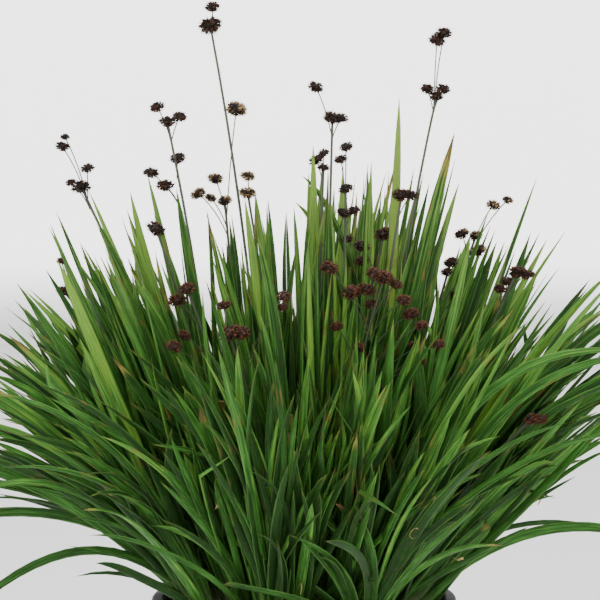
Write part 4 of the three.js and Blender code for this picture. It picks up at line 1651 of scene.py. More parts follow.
@dataclass(frozen=True)
class LeafFinish:
    """Waxy leaf: fine ribs and streaks lengthways, painted highlights along its edges, which are rusty
    in patches, small brown specks, a pale foot, painted light and shade by height (lighter and
    yellower high up, darker low in the clump), and a tip that dries to yellow and brown.

    The places where a colour comes in are heights in metres or shares of the leaf's length, of its
    half width, of a noise or of the shade.
    """

    deep: Colour = (0.007, 0.030, 0.003)
    leafy: Colour = (0.018, 0.081, 0.005)
    fresh: Colour = (0.047, 0.163, 0.026)
    lime: Colour = (0.150, 0.292, 0.030)
    # Painted light: a yellow-green cast for the lit leaves high up.
    olive: Colour = (0.165, 0.228, 0.044)
    # Painted highlight along the leaves' edges.
    margin: Colour = (0.090, 0.200, 0.040)
    pale_foot: Colour = (0.30, 0.38, 0.17)
    yellow: Colour = (0.24, 0.21, 0.045)
    brown: Colour = (0.095, 0.056, 0.020)
    straw: Colour = (0.400, 0.300, 0.130)
    rust: Colour = (0.150, 0.076, 0.020)
    glow_depth: float = 0.002
    glow_radii: tuple[float, float, float] = (0.4, 1.0, 0.15)
    shades: tuple[float, ...] = (0.0, 0.35, 0.68, 1.0)
    cloud_scale: float = 60.0
    cloud_reach: float = 0.5
    ribs_across: float = 2.6
    ribs_along: float = 3.0
    ribs_apart: float = 40.0
    rib_reach: float = 1.5
    streak_scale: float = 4.0
    streak_reach: float = 1.5
    # Painted light and shade: the green grows lighter above this height and darker below it, at this
    # rate.
    lighter_above: float = 0.18
    lighter_rate: float = 2.6
    # Where the painted light cast high up comes in, by height and by shade, and how strong.
    olive_heights: Span = (0.2, 0.3)
    olive_shades: Span = (0.15, 0.6)
    olive_share: float = 0.6
    # Where the painted edge highlights come in, across the leaf, and how strong.
    margin_across: Span = (0.72, 1.0)
    margin_share: float = 0.5
    rust_scale: float = 75.0
    rust_noise: Span = (0.61, 0.69)
    rust_across: Span = (0.25, 0.8)
    rust_heights: Span = (0.13, 0.19)
    rust_share: float = 0.7
    foot_heights: Span = (0.128, 0.098)
    foot_along: Span = (0.2, 0.04)
    foot_share: float = 0.75
    raggedness: float = 0.10
    dry_from: Span = (0.005, 0.05)
    yellow_from: Span = (-0.05, 0.01)
    brown_from: Span = (-0.02, 0.03)
    speck_scale: float = 650.0
    speck_noise: Span = (0.63, 0.72)
    speck_share: float = 0.55
    straw_tones: Span = (0.5, 1.2)

    def _shade(self, paint: Paint, ribs_at: Socket, ribs: Socket) -> Socket:
        """How light the green is: the leaf's tone, clouded, ribbed and streaked, with painted light
        high up and painted shade low down.

        Args:
            paint: the material that is built.
            ribs_at: the place in the pattern of ribs and streaks.
            ribs: the noise of the ribs.

        Returns:
            The shade, where nothing is the deepest green.
        """
        cloud = paint.noise(paint.place(), self.cloud_scale)
        streaks = paint.noise(ribs_at, self.streak_scale, 2.0)
        shade = paint.wavering(paint.read("tone"), cloud, self.cloud_reach)
        shade = paint.wavering(shade, ribs, self.rib_reach)
        shade = paint.wavering(shade, streaks, self.streak_reach)
        # Painted light and shade: lighter high on the clump, where the light falls, darker low down in
        # its shade.
        above = paint.maths("SUBTRACT", paint.height(), self.lighter_above)
        return paint.maths("MULTIPLY_ADD", above, self.lighter_rate, shade)

    def _living(self, paint: Paint, shade: Socket) -> Socket:
        """The colour of the living leaf: its pale foot, rusty patches, painted highlights along its
        edges and a painted light cast high up.

        Args:
            paint: the material that is built.
            shade: how light the green is.

        Returns:
            The colour.
        """
        height, along = paint.height(), paint.read("along")
        across = paint.maths("ABSOLUTE", paint.read("across"))
        greens = (self.deep, self.leafy, self.fresh, self.lime)
        green = paint.ramp(shade, *zip(self.shades, greens))
        rust = paint.noise(paint.place(), self.rust_scale)
        layers = (
            # Painted light: a lighter yellow-green cast on the lit leaves high up.
            (self.olive, self.olive_share, (height, self.olive_heights), (shade, self.olive_shades)),
            # Painted highlights along the leaves' edges.
            (self.margin, self.margin_share, (across, self.margin_across)),
            (
                self.rust, self.rust_share,
                (rust, self.rust_noise), (across, self.rust_across), (height, self.rust_heights),
            ),
            (self.pale_foot, self.foot_share, (height, self.foot_heights), (along, self.foot_along)),
        )
        for layer in layers:
            green = paint.over(green, *layer)
        return green

    def material(self) -> Material:
        """The finish as a material."""
        paint = Paint(
            "leaf",
            Subsurface_Weight=0.05,
            Subsurface_Scale=self.glow_depth,
            Subsurface_Radius=self.glow_radii,
            Specular_IOR_Level=0.17,
        )
        tone, dry = paint.read("tone"), paint.read("dry")
        ribs_at = paint.vector(
            X=paint.times(paint.read("across"), self.ribs_across),
            Y=paint.times(paint.read("along"), self.ribs_along),
            Z=paint.times(tone, self.ribs_apart),
        )
        ribs = paint.noise(ribs_at, 1.0, 4.0)
        colour = self._living(paint, self._shade(paint, ribs_at, ribs))
        ragged = paint.wavering(paint.read("along"), ribs, self.raggedness)
        past = paint.maths("SUBTRACT", ragged, paint.maths("SUBTRACT", 1.0, dry))
        has_dry = paint.step(dry, *self.dry_from)
        yellowed = paint.times(paint.step(past, *self.yellow_from), has_dry)
        browned = paint.times(paint.step(past, *self.brown_from), has_dry)
        specks = paint.step(paint.noise(paint.place(), self.speck_scale), *self.speck_noise)
        browned = paint.maths("MAXIMUM", browned, paint.times(specks, self.speck_share))
        husk = paint.over(self.brown, self.straw, 1.0, (tone, self.straw_tones))
        colour = paint.mix(browned, paint.mix(yellowed, colour, self.yellow), husk)
        paint.coat("Base Color", colour)
        paint.roughen(browned, paint.maths("MULTIPLY_ADD", ribs, 0.2, 0.48), 0.3)
        paint.bump(ribs, 0.0002, 0.6)
        return paint.material


@dataclass(frozen=True)
class StalkFinish:
    """Smooth round stalk: dark green low down, browner near its heads, and greyer and lighter above
    the leaves, a painted light where it stands in the open.
    """

    green: Colour = (0.020, 0.046, 0.012)
    brown: Colour = (0.036, 0.032, 0.022)
    # Painted light: a lighter, greyer colour for the stalk where it stands above the leaves.
    grey: Colour = (0.085, 0.095, 0.070)
    cloud_scale: float = 90.0
    cloud_reach: float = 0.4
    brown_along: Span = (0.75, 1.05)
    # Where the painted light above the leaves comes in, and how strong.
    grey_heights: Span = (0.21, 0.28)
    grey_share: float = 0.75

    def material(self) -> Material:
        """The finish as a material."""
        paint = Paint("flower_stalk", Specular_IOR_Level=0.2)
        cloud = paint.noise(paint.place(), self.cloud_scale)
        along = paint.wavering(paint.read("along"), cloud, self.cloud_reach)
        share = paint.maths("MAXIMUM", paint.step(along, *self.brown_along), paint.read("tone"))
        low, above = paint.mix(share, self.green, self.brown), (paint.height(), self.grey_heights)
        # Painted light: lighter and greyer above the leaves, where the stalk stands in the open light.
        paint.coat("Base Color", paint.over(low, self.grey, self.grey_share, above))
        paint.roughen(cloud, 0.45, 0.25)
        paint.bump(cloud, 0.0002, 0.4)
        return paint.material


@dataclass(frozen=True)
class HeadFinish:
    """Bristly flower head: near black to chestnut florets, some dried to straw."""

    black: Colour = (0.007, 0.004, 0.003)
    dark: Colour = (0.033, 0.013, 0.005)
    chestnut: Colour = (0.110, 0.026, 0.008)
    straw: Colour = (0.26, 0.17, 0.07)
    shades: tuple[float, ...] = (0.2, 0.55, 1.0)
    cloud_scale: float = 700.0
    cloud_share: float = 0.4
    glint_share: float = 0.45
    redness_share: float = 0.22
    straw_from: Span = (0.0, 0.2)

    def material(self) -> Material:
        """The finish as a material."""
        paint = Paint("flower_head", Specular_IOR_Level=0.25)
        cloud, glint = paint.noise(paint.place(), self.cloud_scale), paint.read("glint")
        clouded = paint.times(cloud, self.cloud_share)
        shade = paint.maths("MULTIPLY_ADD", glint, self.glint_share, clouded)
        shade = paint.maths("MULTIPLY_ADD", paint.read("redness"), self.redness_share, shade)
        colour = paint.ramp(shade, *zip(self.shades, (self.black, self.dark, self.chestnut)))
        dried = paint.maths("SUBTRACT", paint.maths("ADD", paint.read("dryness"), glint), 1.0)
        paint.coat("Base Color", paint.over(colour, self.straw, 1.0, (dried, self.straw_from)))
        paint.roughen(cloud, 0.35, 0.3)
        return paint.material


@dataclass(frozen=True)
class PotFinish:
    """Black moulded plastic, a little dusty, finely grained."""

    black: Colour = (0.008, 0.008, 0.009)
    dust: Colour = (0.040, 0.037, 0.033)
    cloud_scale: float = 28.0
    grain_scale: float = 1400.0
    dust_noise: Span = (0.5, 0.8)
    dust_share: float = 0.6

    def material(self) -> Material:
        """The finish as a material."""
        paint = Paint("pot_plastic", Specular_IOR_Level=0.2)
        cloud = paint.noise(paint.place(), self.cloud_scale, 5.0)
        grain = paint.noise(paint.place(), self.grain_scale, 2.0)
        dusty = paint.over(self.black, self.dust, self.dust_share, (cloud, self.dust_noise))
        paint.coat("Base Color", dusty)
        paint.roughen(cloud, 0.45, 0.25)
        paint.bump(grain, 0.00008, 0.5)
        return paint.material


@dataclass(frozen=True)
class CompostFinish:
    """Damp dark compost with lighter crumbs."""

    dark: Colour = (0.012, 0.007, 0.004)
    brown: Colour = (0.060, 0.034, 0.018)
    shades: Span = (0.35, 0.7)
    cloud_scale: float = 180.0
    grain_scale: float = 900.0

    def material(self) -> Material:
        """The finish as a material."""
        paint = Paint("compost")
        cloud = paint.noise(paint.place(), self.cloud_scale, 6.0)
        grain = paint.noise(paint.place(), self.grain_scale, 4.0)
        mixed = paint.maths("MULTIPLY_ADD", grain, 0.5, paint.times(cloud, 0.5))
        paint.coat("Base Color", paint.ramp(mixed, *zip(self.shades, (self.dark, self.brown))))
        paint.roughen(grain, 0.75, 0.2)
        paint.bump(mixed, 0.0008)
        return paint.material


@dataclass(frozen=True)
class FloorFinish:
    """Matt white studio paper that glows far from the plant and low down, as if lit from behind."""

    white: Colour = (0.86, 0.86, 0.855)
    grain_scale: float = 400.0
    grain_depth: float = 0.01
    glow: float = 2.75
    glow_reach: Span = (2.0, 3.6)
    glow_heights: Span = (1.2, 0.6)

    def material(self) -> Material:
        """The finish as a material."""
        paint = Paint("studio_paper", Roughness=0.9, Emission_Color=(*self.white, 1))
        parts = paint.axes(paint.place())
        plugs = {0: paint.vector(X=parts["X"], Y=parts["Y"])}
        reach = paint.node("ShaderNodeVectorMath", plugs, operation="LENGTH").outputs["Value"]
        glow = paint.times(paint.step(reach, *self.glow_reach), self.glow)
        glow = paint.times(glow, paint.step(parts["Z"], *self.glow_heights))
        paint.coat("Emission Strength", glow)
        paint.material.cycles.emission_sampling = "NONE"
        grain, depth = paint.noise(paint.place(), self.grain_scale), self.grain_depth
        level = paint.maths("MULTIPLY_ADD", grain, depth, 1 - depth)
        paint.coat("Base Color", paint.mix(1.0, self.white, level, "MULTIPLY"))
        return paint.material


def turned_mesh(name: str, profile: Sequence[tuple[float, float]], sides: int) -> Mesh:
    """A closed mesh that is turned round the Z axis.

    Args:
        name: the mesh's name.
        profile: radius and height in millimetres, from the axis back to the axis.
        sides: how many faces go round.

    Returns:
        The mesh, in metres, with its faces outwards.
    """
    made = bmesh.new()
    rings = []
    for radius, height in profile:
        if radius == 0:
            rings.append([made.verts.new((0, 0, height * MM))])
            continue
        turns = [math.tau * i / sides for i in range(sides)]
        reach = radius * MM
        rings.append(
            [made.verts.new((reach * math.cos(t), reach * math.sin(t), height * MM)) for t in turns]
        )
    for low, high in zip(rings, rings[1:]):
        for i in range(sides):
            j = (i + 1) % sides
            if len(low) == 1:
                made.faces.new((low[0], high[j], high[i]))
            elif len(high) == 1:
                made.faces.new((low[i], low[j], high[0]))
            else:
                made.faces.new((low[i], low[j], high[j], high[i]))
    bmesh.ops.recalc_face_normals(made, faces=made.faces)
    mesh = bpy.data.meshes.new(name)
    made.to_mesh(mesh)
    made.free()
    mesh.shade_smooth()
    return mesh


def rounded(
    corner: tuple[float, float], radius: float, start: float, end: float
) -> list[tuple[float, float]]:
    """Five points of an arc round a corner's middle, in millimetres, from start to end in degrees."""
    angles = np.radians(np.linspace(start, end, 5))
    return [(corner[0] + radius * math.cos(a), corner[1] + radius * math.sin(a)) for a in angles]


@dataclass
class NurseryPot:
    """The round pot: a thin tapered shell with a turned-down lip and drain holes."""

    size: PotSize = POT
    finish: PotFinish = PotFinish()
    sides: int = 144
    foot_edge: float = 0.7
    lip_edge: float = 0.5
    rim_edge: float = 1.0
    mouth_edge: float = 0.6
    lip_slope: float = 0.4
    lip_gap: float = 0.1
    floor_radius: float = 20.0
    wall_rings: tuple[float, ...] = (0.06, 0.25, 0.5, 0.75, 0.97)
    drill_sides: int = 32
    sharp_from: float = 40.0

    def _profile(self) -> list[tuple[float, float]]:
        """The shell's section, from the middle of the underside round to the middle of the floor."""
        size, rim = self.size, self.size.rim_radius
        foot, lip, top = self.foot_edge, self.lip_edge, self.rim_edge
        lip_foot = size.height - size.lip_depth
        inner_foot = size.outer_radius(size.floor) - size.wall
        mouth = size.mouth_radius + 2 * self.mouth_edge
        wall = [(size.outer_radius(lip_foot * share), lip_foot * share) for share in self.wall_rings]
        return [
            (0, 0),
            (self.floor_radius, 0),
            *rounded((size.outer_radius(0) - foot, foot), foot, -90, 0),
            *wall,
            (size.outer_radius(lip_foot) + self.lip_gap, lip_foot - self.lip_gap),
            *rounded((rim - 2 * self.lip_slope - lip, lip_foot + lip), lip, -90, 0),
            (rim - self.lip_slope, lip_foot + size.lip_depth * 0.5),
            *rounded((rim - top, size.height - top), top, 0, 90),
            *rounded((mouth, size.height - self.mouth_edge), self.mouth_edge, 90, 180),
            (size.outer_radius(lip_foot) - size.wall, lip_foot),
            *((radius - size.wall, height) for radius, height in reversed(wall)),
            (inner_foot, size.floor),
            (self.floor_radius, size.floor),
            (0, size.floor),
        ]

    def _drills(self) -> Piece:
        """The round cutters of the drain holes."""
        made, size = bmesh.new(), self.size
        for i in range(size.holes):
            turn = math.tau * (i + 0.5) / size.holes
            ring, radius = size.hole_ring * MM, size.hole_radius * MM
            before = set(made.verts)
            bmesh.ops.create_cone(
                made,
                cap_ends=True,
                segments=self.drill_sides,
                radius1=radius,
                radius2=radius,
                depth=3 * size.floor * MM,
            )
            shift = Vector((ring * math.cos(turn), ring * math.sin(turn), 0))
            bmesh.ops.translate(made, vec=shift, verts=[v for v in made.verts if v not in before])
        mesh = bpy.data.meshes.new("drain_drills")
        made.to_mesh(mesh)
        made.free()
        return added("drain_drills", mesh)

    def build(self) -> Piece:
        """Makes the pot and dresses it."""
        shell = added("pot_shell", turned_mesh("pot_shell", self._profile(), self.sides))
        drills = self._drills()
        cut = shell.modifiers.new("drain_holes", "BOOLEAN")
        cut.object, cut.solver = drills, "EXACT"
        depsgraph = bpy.context.evaluated_depsgraph_get()
        mesh = bpy.data.meshes.new_from_object(shell.evaluated_get(depsgraph))
        for scratch in (shell, drills):
            bpy.data.objects.remove(scratch)
        mesh.name = "nursery_pot"
        mesh.materials.clear()
        mesh.materials.append(self.finish.material())
        mesh.set_sharp_from_angle(angle=math.radians(self.sharp_from))
        return settle(added("nursery_pot", mesh), "pot")


@dataclass
class Compost:
    """The compost: a block that fills the pot, with crumbs and fibres on its uneven top."""

    top: float = COMPOST_TOP - 0.6
    unevenness: float = 0.5
    swells: Span = (0.31, 0.27)
    ripples: Span = (0.9, 0.7)
    ripple_share: float = 0.5
    rings: int = 26
    sides: int = 96
    finish: CompostFinish = CompostFinish()

    def _block(self) -> Mesh:
        """The bare block, with its top raised and lowered a little."""
        foot = POT.floor + GAP
        edge = POT.outer_radius(self.top) - POT.wall - GAP
        top = [(edge * (1 - i / self.rings), self.top) for i in range(self.rings)]
        inside = POT.outer_radius(foot) - POT.wall - GAP
        profile = [(0, foot), (inside, foot), *top, (0, self.top)]
        mesh = turned_mesh("compost_block", profile, self.sides)
        (wide, deep), (across, back) = self.swells, self.ripples
        for vertex in mesh.vertices:
            if vertex.co.z > (self.top - 1) * MM:
                x, y = vertex.co.x / MM, vertex.co.y / MM
                wave = math.sin(x * wide) * math.cos(y * deep)
                wave += self.ripple_share * math.sin(x * across + y * back)
                vertex.co.z += self.unevenness * wave * MM
        return mesh

    def build(self) -> Piece:
        """Makes the compost and dresses it."""
        values = {"Compost Finish": self.finish.material()}
        piece = grown("compost_fill", self._block(), crumb_tree(), values)
        return settle(piece, "compost")


@dataclass(frozen=True)
class ExtraLeaves:
    """The narrower leaves between a fan's main ones, in millimetres, radians and shares. A spread
    reaches as far to both sides."""

    count: int = 44
    tries: int = 5
    widths: Span = (1.8, 4.9)
    steep_widening: float = 1.28
    between: Span = (0.05, 0.95)
    shortening: float = 0.36
    tip_spread: float = 10.0
    short_tip_spread: float = 75.0
    tip_rise_share: float = 0.4
    bend_spread: float = 11.0
    bend_rise_share: float = 0.6
    arch: float = 50.0
    droop: float = 8.0
    turn_spread: float = 0.9
    twist_spread: float = 1.1
    folded_share: float = 0.05
    fold_height: float = 150.0
    fold_places: Span = (0.7, 0.88)
    fold_spread: float = 1.6
    cut_share: float = 0.02
    cut_places: Span = (0.3, 0.8)


@dataclass(frozen=True)
class DeadLeaves:
    """The short dry leaves, one in some of the fans."""

    share: float = 0.4
    lengths: Span = (50, 140)
    widths: Span = (1.4, 3.0)
    leans: Span = (0.8, 1.5)
    bends: Span = (0.5, 0.7)
    side_spread: float = 0.9
    twist_spread: float = 2.0
    dryness: Span = (0.6, 1.3)


@dataclass(frozen=True)
class Scraps:
    """The curled dry scraps, one on each fan."""

    rings: int = 12
    places: Span = (0.35, 0.9)
    curls: Span = (2, 7)
    curl_radii: Span = (0.8, 2)
    lengths: Span = (1, 4)
    half_widths: Span = (0.25, 0.9)
    half_thickness: float = 0.1
    tones: Span = (0.6, 1.2)
    dryness: float = 1.2


@dataclass
class LeafFan:
    """A dressed fan: its sheath, its four main leaves, the leaves between them and its dead ones."""

    fan: Fan
    tree: bpy.types.NodeTree
    finish: Material
    heads: Array
    arched: Sequence[ArchedLeaf]
    dice: Dice
    extra: ExtraLeaves = ExtraLeaves()
    dead: DeadLeaves = DeadLeaves()
    scrap: Scraps = Scraps()
    foot_spread: Span = (3.0, 1.6)
    arched_turn_spread: float = 0.5
    arched_twist_spread: float = 0.4
    sways: Span = (0.1, 1.9)
    sway_turns: Span = (0.4, 1.1)
    tone_spread: float = 0.07
    low: float = 0.66
    low_share: float = 0.2
    top_gap: Span = (-14.0, 1.0)
    top_gap_floor: float = 236.0
    sheath_rings: int = 7
    sheath_slimness: float = 0.85
    sheath_closing: float = 0.4

    def _sheath(self) -> Rail:
        """The flat sheath that the leaves grow from, as long as its solid."""
        stations = np.linspace(0, 1, self.sheath_rings)
        points = self.fan.foot + self.fan.axis * SHEATH_LENGTH * stations[:, None]
        widths = SHEATH_HALF_WIDTH * (1 - (1 - SHEATH_TOP_WIDTH) * stations)
        thicknesses = SHEATH_HALF_THICKNESS * (1 - (1 - SHEATH_TOP_THICKNESS) * stations)
        thicknesses *= self.sheath_slimness
        widths[-1] *= self.sheath_closing
        thicknesses[-1] *= self.sheath_closing
        strand = Strand.through(points, widths, thicknesses, self.fan.facing)
        strand.side[:] = np.cross(self.fan.facing, UP)
        strand.face[:] = self.fan.facing
        return Rail(strand, tone=FRESH.value)

    def _foot(self) -> Array:
        """A foot for one more leaf, near the fan's own."""
        along, over = self.foot_spread
        shift = self.fan.spread * self.dice.about(along)
        return self.fan.foot + shift + self.fan.facing * self.dice.about(over)

    def _extra_leaf(self) -> Rail:
        """A leaf between two of the main ones, and a little shorter."""
        dice, leaves, size = self.dice, self.fan.leaves, self.extra
        first = dice.pick(len(leaves))
        second = (first + 1 + dice.pick(len(leaves) - 1)) % len(leaves)
        one, other = leaves[first], leaves[second]
        share = dice.between(*size.between)
        reach = 1 - size.shortening * dice.between(0, 1) ** 2
        control, tip = blend(one.control, other.control, share), blend(one.tip, other.tip, share)
        foot = self._foot()
        bend = blend(foot, control, reach)
        end = blend(bend, blend(control, tip, reach), reach)
        end = end + dice.shift(
            size.tip_spread + size.short_tip_spread * (1 - reach), size.tip_rise_share
        )
        levelness = 1 - unit(end - foot)[2]
        bend = bend + dice.shift(size.bend_spread, size.bend_rise_share)
        bend = bend + UP * (size.arch * levelness * dice.between(0, 1))
        end = end - UP * (size.droop * levelness * dice.between(0, 1))
        turn = dice.about(size.turn_spread)
        facing = blend(one.facing, other.facing, share)
        facing = unit(facing + np.cross(UP, facing) * turn)
        width = dice.between(*size.widths) * (size.steep_widening - levelness)
        leaf = Leaf(foot, bend, end, width, facing, dice.about(size.twist_spread))
        leaf.tone, leaf.dry = usual_tone(dice), usual_dryness(dice)
        rail = self._clear_of_rim(leaf, SPARSE_STATIONS)
        if dice.chance(size.folded_share) and end[2] > size.fold_height:
            rail.fold(dice.between(*size.fold_places), dice.about(size.fold_spread))
        elif dice.chance(size.cut_share):
            rail.cut(dice.between(*size.cut_places))
        return rail

    def _arched_leaf(self, place: ArchedLeaf) -> Rail:
        """A leaf that arches across the others."""
        bend, tip = point(*place.bend), point(*place.tip)
        facing = unit(point(self.dice.about(self.arched_turn_spread), -1, 0))
        foot, twist = self._foot(), self.dice.about(self.arched_twist_spread)
        leaf = Leaf(foot, bend, tip, place.width, facing, twist)
        leaf.tone, leaf.dry = place.tone.value, place.end.value
        return self._clear_of_rim(leaf, BLADE_STATIONS)

    def _scrap(self) -> Rail:
        """A dry scrap, curled up on one of the main leaves."""
        dice, size = self.dice, self.scrap
        leaf = self.fan.leaves[dice.pick(LEAVES_PER_FAN)]
        place = np.array([dice.between(*size.places)])
        start = curve_points(leaf.foot, leaf.control, leaf.tip, place)[0]
        out = unit(point(dice.about(1), dice.between(-1, 0), dice.between(-0.2, 1)))
        over = unit(np.cross(out, UP))
        stations = np.linspace(0, 1, size.rings)
        angle = (dice.between(*size.curls) * stations)[:, None]
        curl = (out * np.sin(angle) + over * (1 - np.cos(angle))) * dice.between(*size.curl_radii)
        points = start + curl + np.cross(out, over) * stations[:, None] * dice.between(*size.lengths)
        half_widths = dice.between(*size.half_widths) * (1.02 - stations**2)
        thicknesses = np.full(size.rings, size.half_thickness)
        strand = Strand.through(points, half_widths, thicknesses, over)
        return Rail(strand, tone=dice.between(*size.tones), dry=size.dryness)

    def _suits(self, rail: Rail) -> bool:
        """Whether one more leaf suits the clump: it hides no flower head, it leaves the gap in the
        clump's top open, and few lie low, none of them on the right."""
        at, (left, right) = rail.strand.at, self.top_gap
        in_gap = (at[:, 0] > left) & (at[:, 0] < right) & (at[:, 2] > self.top_gap_floor)
        if in_gap.any():
            return False
        lean = unit(at[-1] - at[0])
        low_share = self.low_share if lean[0] < 0 else 0.0
        if lean[2] < self.low and not self.dice.chance(low_share):
            return False
        return not rail.strand.hides(self.heads)

    def _dead_leaf(self) -> Rail:
        """A short dry leaf that leans out between the others."""
        dice, size, foot = self.dice, self.dead, self._foot()
        azimuth = self.fan.lean_azimuth + dice.about(size.side_spread)
        out = point(math.cos(azimuth), math.sin(azimuth), 0)
        length = dice.between(*size.lengths)
        lean = self.fan.lean * dice.between(*size.leans)
        end = foot + (out * math.sin(lean) + UP * math.cos(lean)) * length
        bend = foot + UP * length * dice.between(*size.bends)
        width, twist = dice.between(*size.widths), dice.about(size.twist_spread)
        leaf = Leaf(foot, bend, end, width, self.fan.facing, twist)
        leaf.tone, leaf.dry = LEAFY.value, dice.between(*size.dryness)
        return self._clear_of_rim(leaf, SPARSE_STATIONS)

    def _clear_of_rim(self, leaf: Leaf, stations: Array) -> Rail:
        """The leaf's rail, with the leaf lifted until it passes over the pot's rim."""
        length = float(np.linalg.norm(leaf.tip - leaf.foot))
        for _ in range(round(LIFT_MOST / LIFT_STEP)):
            rail = Rail.of_leaf(leaf, stations)
            if not rail.strand.meets_rim():
                break
            leaf.control = leaf.control + UP * (LIFT_STEP * length)
        return rail

    def _rails(self) -> list[Rail]:
        """All that the fan is made of, the sheath first and each leaf swaying a little."""
        dice = self.dice
        rails = [self._sheath(), *map(Rail.of_leaf, self.fan.leaves)]
        rails += map(self._arched_leaf, self.arched)
        for _ in range(self.extra.count):
            tries = (self._extra_leaf() for _ in range(self.extra.tries))
            rails += islice(filter(self._suits, tries), 1)
        if dice.chance(self.dead.share):
            rails.append(self._dead_leaf())
        rails.append(self._scrap())
        for rail in rails[1:]:
            reach, turns = dice.between(*self.sways), dice.between(*self.sway_turns)
            rail.wave(reach, turns, dice.between(0, math.tau))
        for rail in rails:
            rail.tone += dice.about(self.tone_spread)
        return rails

    def build(self) -> Piece:
        """Makes the fan and dresses it."""
        name = self.fan.name.replace("leaf_fan", "leaves")
        source = rail_mesh(name, self._rails())
        piece = grown(name, source, self.tree, {"Leaf Finish": self.finish})
        return settle(piece, self.fan.name)


@dataclass
class FlowerStalks:
    """A dressed flower stem: the stem, its stalks and its bristly heads."""

    stem: FlowerStem
    tree: bpy.types.NodeTree
    stalk_finish: Material
    head_finish: Material
    stem_slimness: float = 0.8
    stalk_slimness: float = 0.5
    stalk_brownness: float = 0.3
    bend_place: float = 0.35
    bend_rise: float = 0.22
    faint_depths: tuple[float, ...] = (3.0, -4.0, 6.0, 0.0)

    def _faint_stalks(self) -> list[Stalk]:
        """The stalks and heads that are too small to have a solid."""
        stem, place = self.stem.stalks[0], self.stem.place
        stalks = []
        for head, depth in zip(place.faint, cycle(self.faint_depths)):
            at = point(head.x, place.y + depth, head.z)
            stalks.append(Stalk.to_head(stem.points, at, head.radius, stem.facing))
        return stalks

    def _rails(self, stalks: Iterable[Stalk]) -> list[Rail]:
        """The stem and its stalks, smoothly curved and as slender as the real ones."""
        rails = []
        for number, stalk in enumerate(stalks):
            if number == 0:
                points, slimness, tone = self._smoothed(stalk.points), self.stem_slimness, 0.0
            else:
                points, slimness = self._arched(stalk.points), self.stalk_slimness
                tone = self.stalk_brownness
            radii = slimness * np.linspace(stalk.radii[0], stalk.radii[-1], len(points))
            rails.append(Rail(Strand.through(points, radii, radii, stalk.facing), tone))
        return rails

    def _arched(self, points: Array) -> Array:
        """More points on a stalk, which leaves its stem upwards and then bends to its head."""
        foot, head = points
        rise = self.bend_rise * float(np.linalg.norm(head - foot))
        bend = blend(foot, head, self.bend_place) + UP * rise
        return curve_points(foot, bend, head, STALK_STATIONS)

    @staticmethod
    def _smoothed(points: Array) -> Array:
        """More points on the smooth curve through a stem's own ones."""
        columns = [np.polyfit(SOLID_STEM_STATIONS, column, 2) for column in points.T]
        return np.stack([np.polyval(column, STEM_STATIONS) for column in columns], axis=1)

    def build(self) -> Piece:
        """Makes the stem and dresses it."""
        place, stalks = self.stem.place, [*self.stem.stalks, *self._faint_stalks()]
        flowers = [
            Head(stalk.head, stalk.head_radius, place.redness, place.dryness) for stalk in stalks
        ]
        name = self.stem.name.replace("flower_stem", "flower_stalk")
        source = rail_mesh(name, self._rails(stalks), flowers)
        values = {"Stalk Finish": self.stalk_finish, "Head Finish": self.head_finish}
        values["Seed"] = int(name[-2:])
        return settle(grown(name, source, self.tree, values), self.stem.name)


@dataclass(frozen=True)
class Lamp:
    """A square soft light: where it hangs and its side, in metres, and its power in watts."""

    name: str
    at: tuple[float, float, float]
    size: float
    power: float


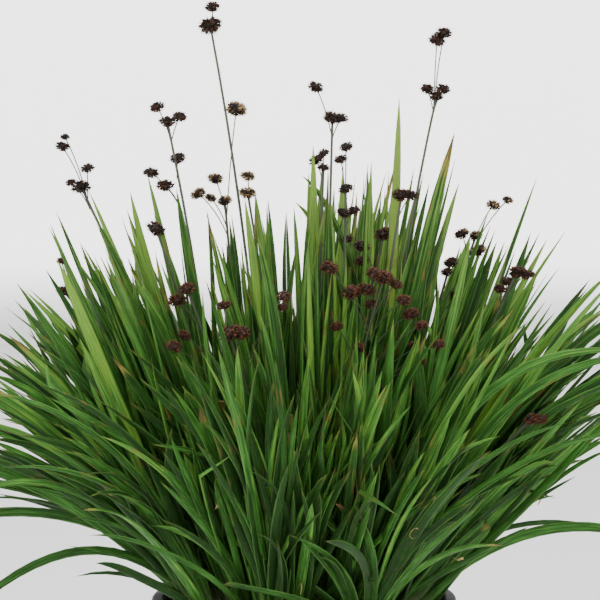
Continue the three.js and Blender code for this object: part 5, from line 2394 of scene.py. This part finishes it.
@dataclass
class Studio:
    """A round white cove, soft lights and the camera at the photograph's viewing angle. Its sizes
    are in metres, the camera's lens and sensor in millimetres and its pitch in degrees."""

    floor_radius: float = 3.4
    cove_radius: float = 1.6
    wall_height: float = 4.2
    sides: int = 96
    lamps: tuple[Lamp, ...] = (
        Lamp("top_light", (0.1, -0.45, 1.9), 1.4, 54),
        Lamp("front_light", (-0.9, -1.9, 1.3), 1.4, 8),
        Lamp("back_light", (0.6, 1.6, 1.9), 1.2, 14),
    )
    air_light: float = 0.54
    sight: Vector = Vector((-0.0017, 0.0, 0.2321))
    distance: float = 1.1
    pitch: float = 5.0
    lens: float = 155.9
    sensor: float = 36.0
    sharp_range: Span = (0.01, 50.0)

    def _floor(self) -> None:
        """The floor, which curves up into a wall all round."""
        radius, cove = self.floor_radius / MM, self.cove_radius / MM
        bend = [
            (radius + cove * math.sin(a), cove * (1 - math.cos(a)))
            for a in np.radians(np.linspace(0, 90, 16))
        ]
        profile = [(0, 0), (radius * 0.2, 0), *bend, (radius + cove, self.wall_height / MM)]
        mesh = turned_mesh("studio_floor", profile, self.sides)
        mesh.flip_normals()
        mesh.materials.append(FloorFinish().material())
        added("studio_floor", mesh)

    def _light(self, lamp: Lamp) -> None:
        """Hangs a lamp and points it at the plant."""
        data = bpy.data.lights.new(lamp.name, "AREA")
        data.shape, data.size, data.energy = "SQUARE", lamp.size, lamp.power
        made = added(lamp.name, data)
        made.location = lamp.at
        made.rotation_euler = (self.sight - Vector(lamp.at)).to_track_quat("-Z", "Y").to_euler()

    def _air(self) -> None:
        """The even light that comes from all round."""
        world = bpy.data.worlds.new("studio_air")
        world.use_nodes = True
        sky = world.node_tree.nodes["Background"]
        sky.inputs["Color"].default_value = (1, 1, 1, 1)
        sky.inputs["Strength"].default_value = self.air_light
        bpy.context.scene.world = world

    def _camera(self) -> None:
        """The camera, a little above the plant's middle and looking slightly down."""
        data = bpy.data.cameras.new("camera")
        data.lens, data.sensor_width = self.lens, self.sensor
        data.clip_start, data.clip_end = self.sharp_range
        data.dof.use_dof = False
        camera = added("camera", data)
        tilt = math.radians(self.pitch)
        back = Vector((0, -math.cos(tilt), math.sin(tilt)))
        camera.location = self.sight + back * self.distance
        camera.rotation_euler = (math.pi / 2 - tilt, 0, 0)
        bpy.context.scene.camera = camera

    def build(self) -> None:
        """Makes the studio."""
        self._floor()
        for lamp in self.lamps:
            self._light(lamp)
        self._air()
        self._camera()


def main() -> None:
    """Builds the pot, the compost, the plant and the studio, in that order."""
    logging.basicConfig(level=logging.INFO, format="%(name)s: %(message)s")
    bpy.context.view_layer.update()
    plant = Plant()
    NurseryPot().build()
    Compost().build()
    leaf_tree, leaf_finish = fan_tree(), LeafFinish().material()
    arched = plant.arched_leaves()
    for number, fan in enumerate(plant.fans, 1):
        dice = Dice(FAN_SEED + number * FAN_SEED_STEP)
        LeafFan(fan, leaf_tree, leaf_finish, plant.heads(), arched[fan.name], dice).build()
    flower_tree = stem_tree()
    stalk_finish, head_finish = StalkFinish().material(), HeadFinish().material()
    for stem in plant.stems:
        FlowerStalks(stem, flower_tree, stalk_finish, head_finish).build()
    Studio().build()


if __name__ == "__main__":
    main()
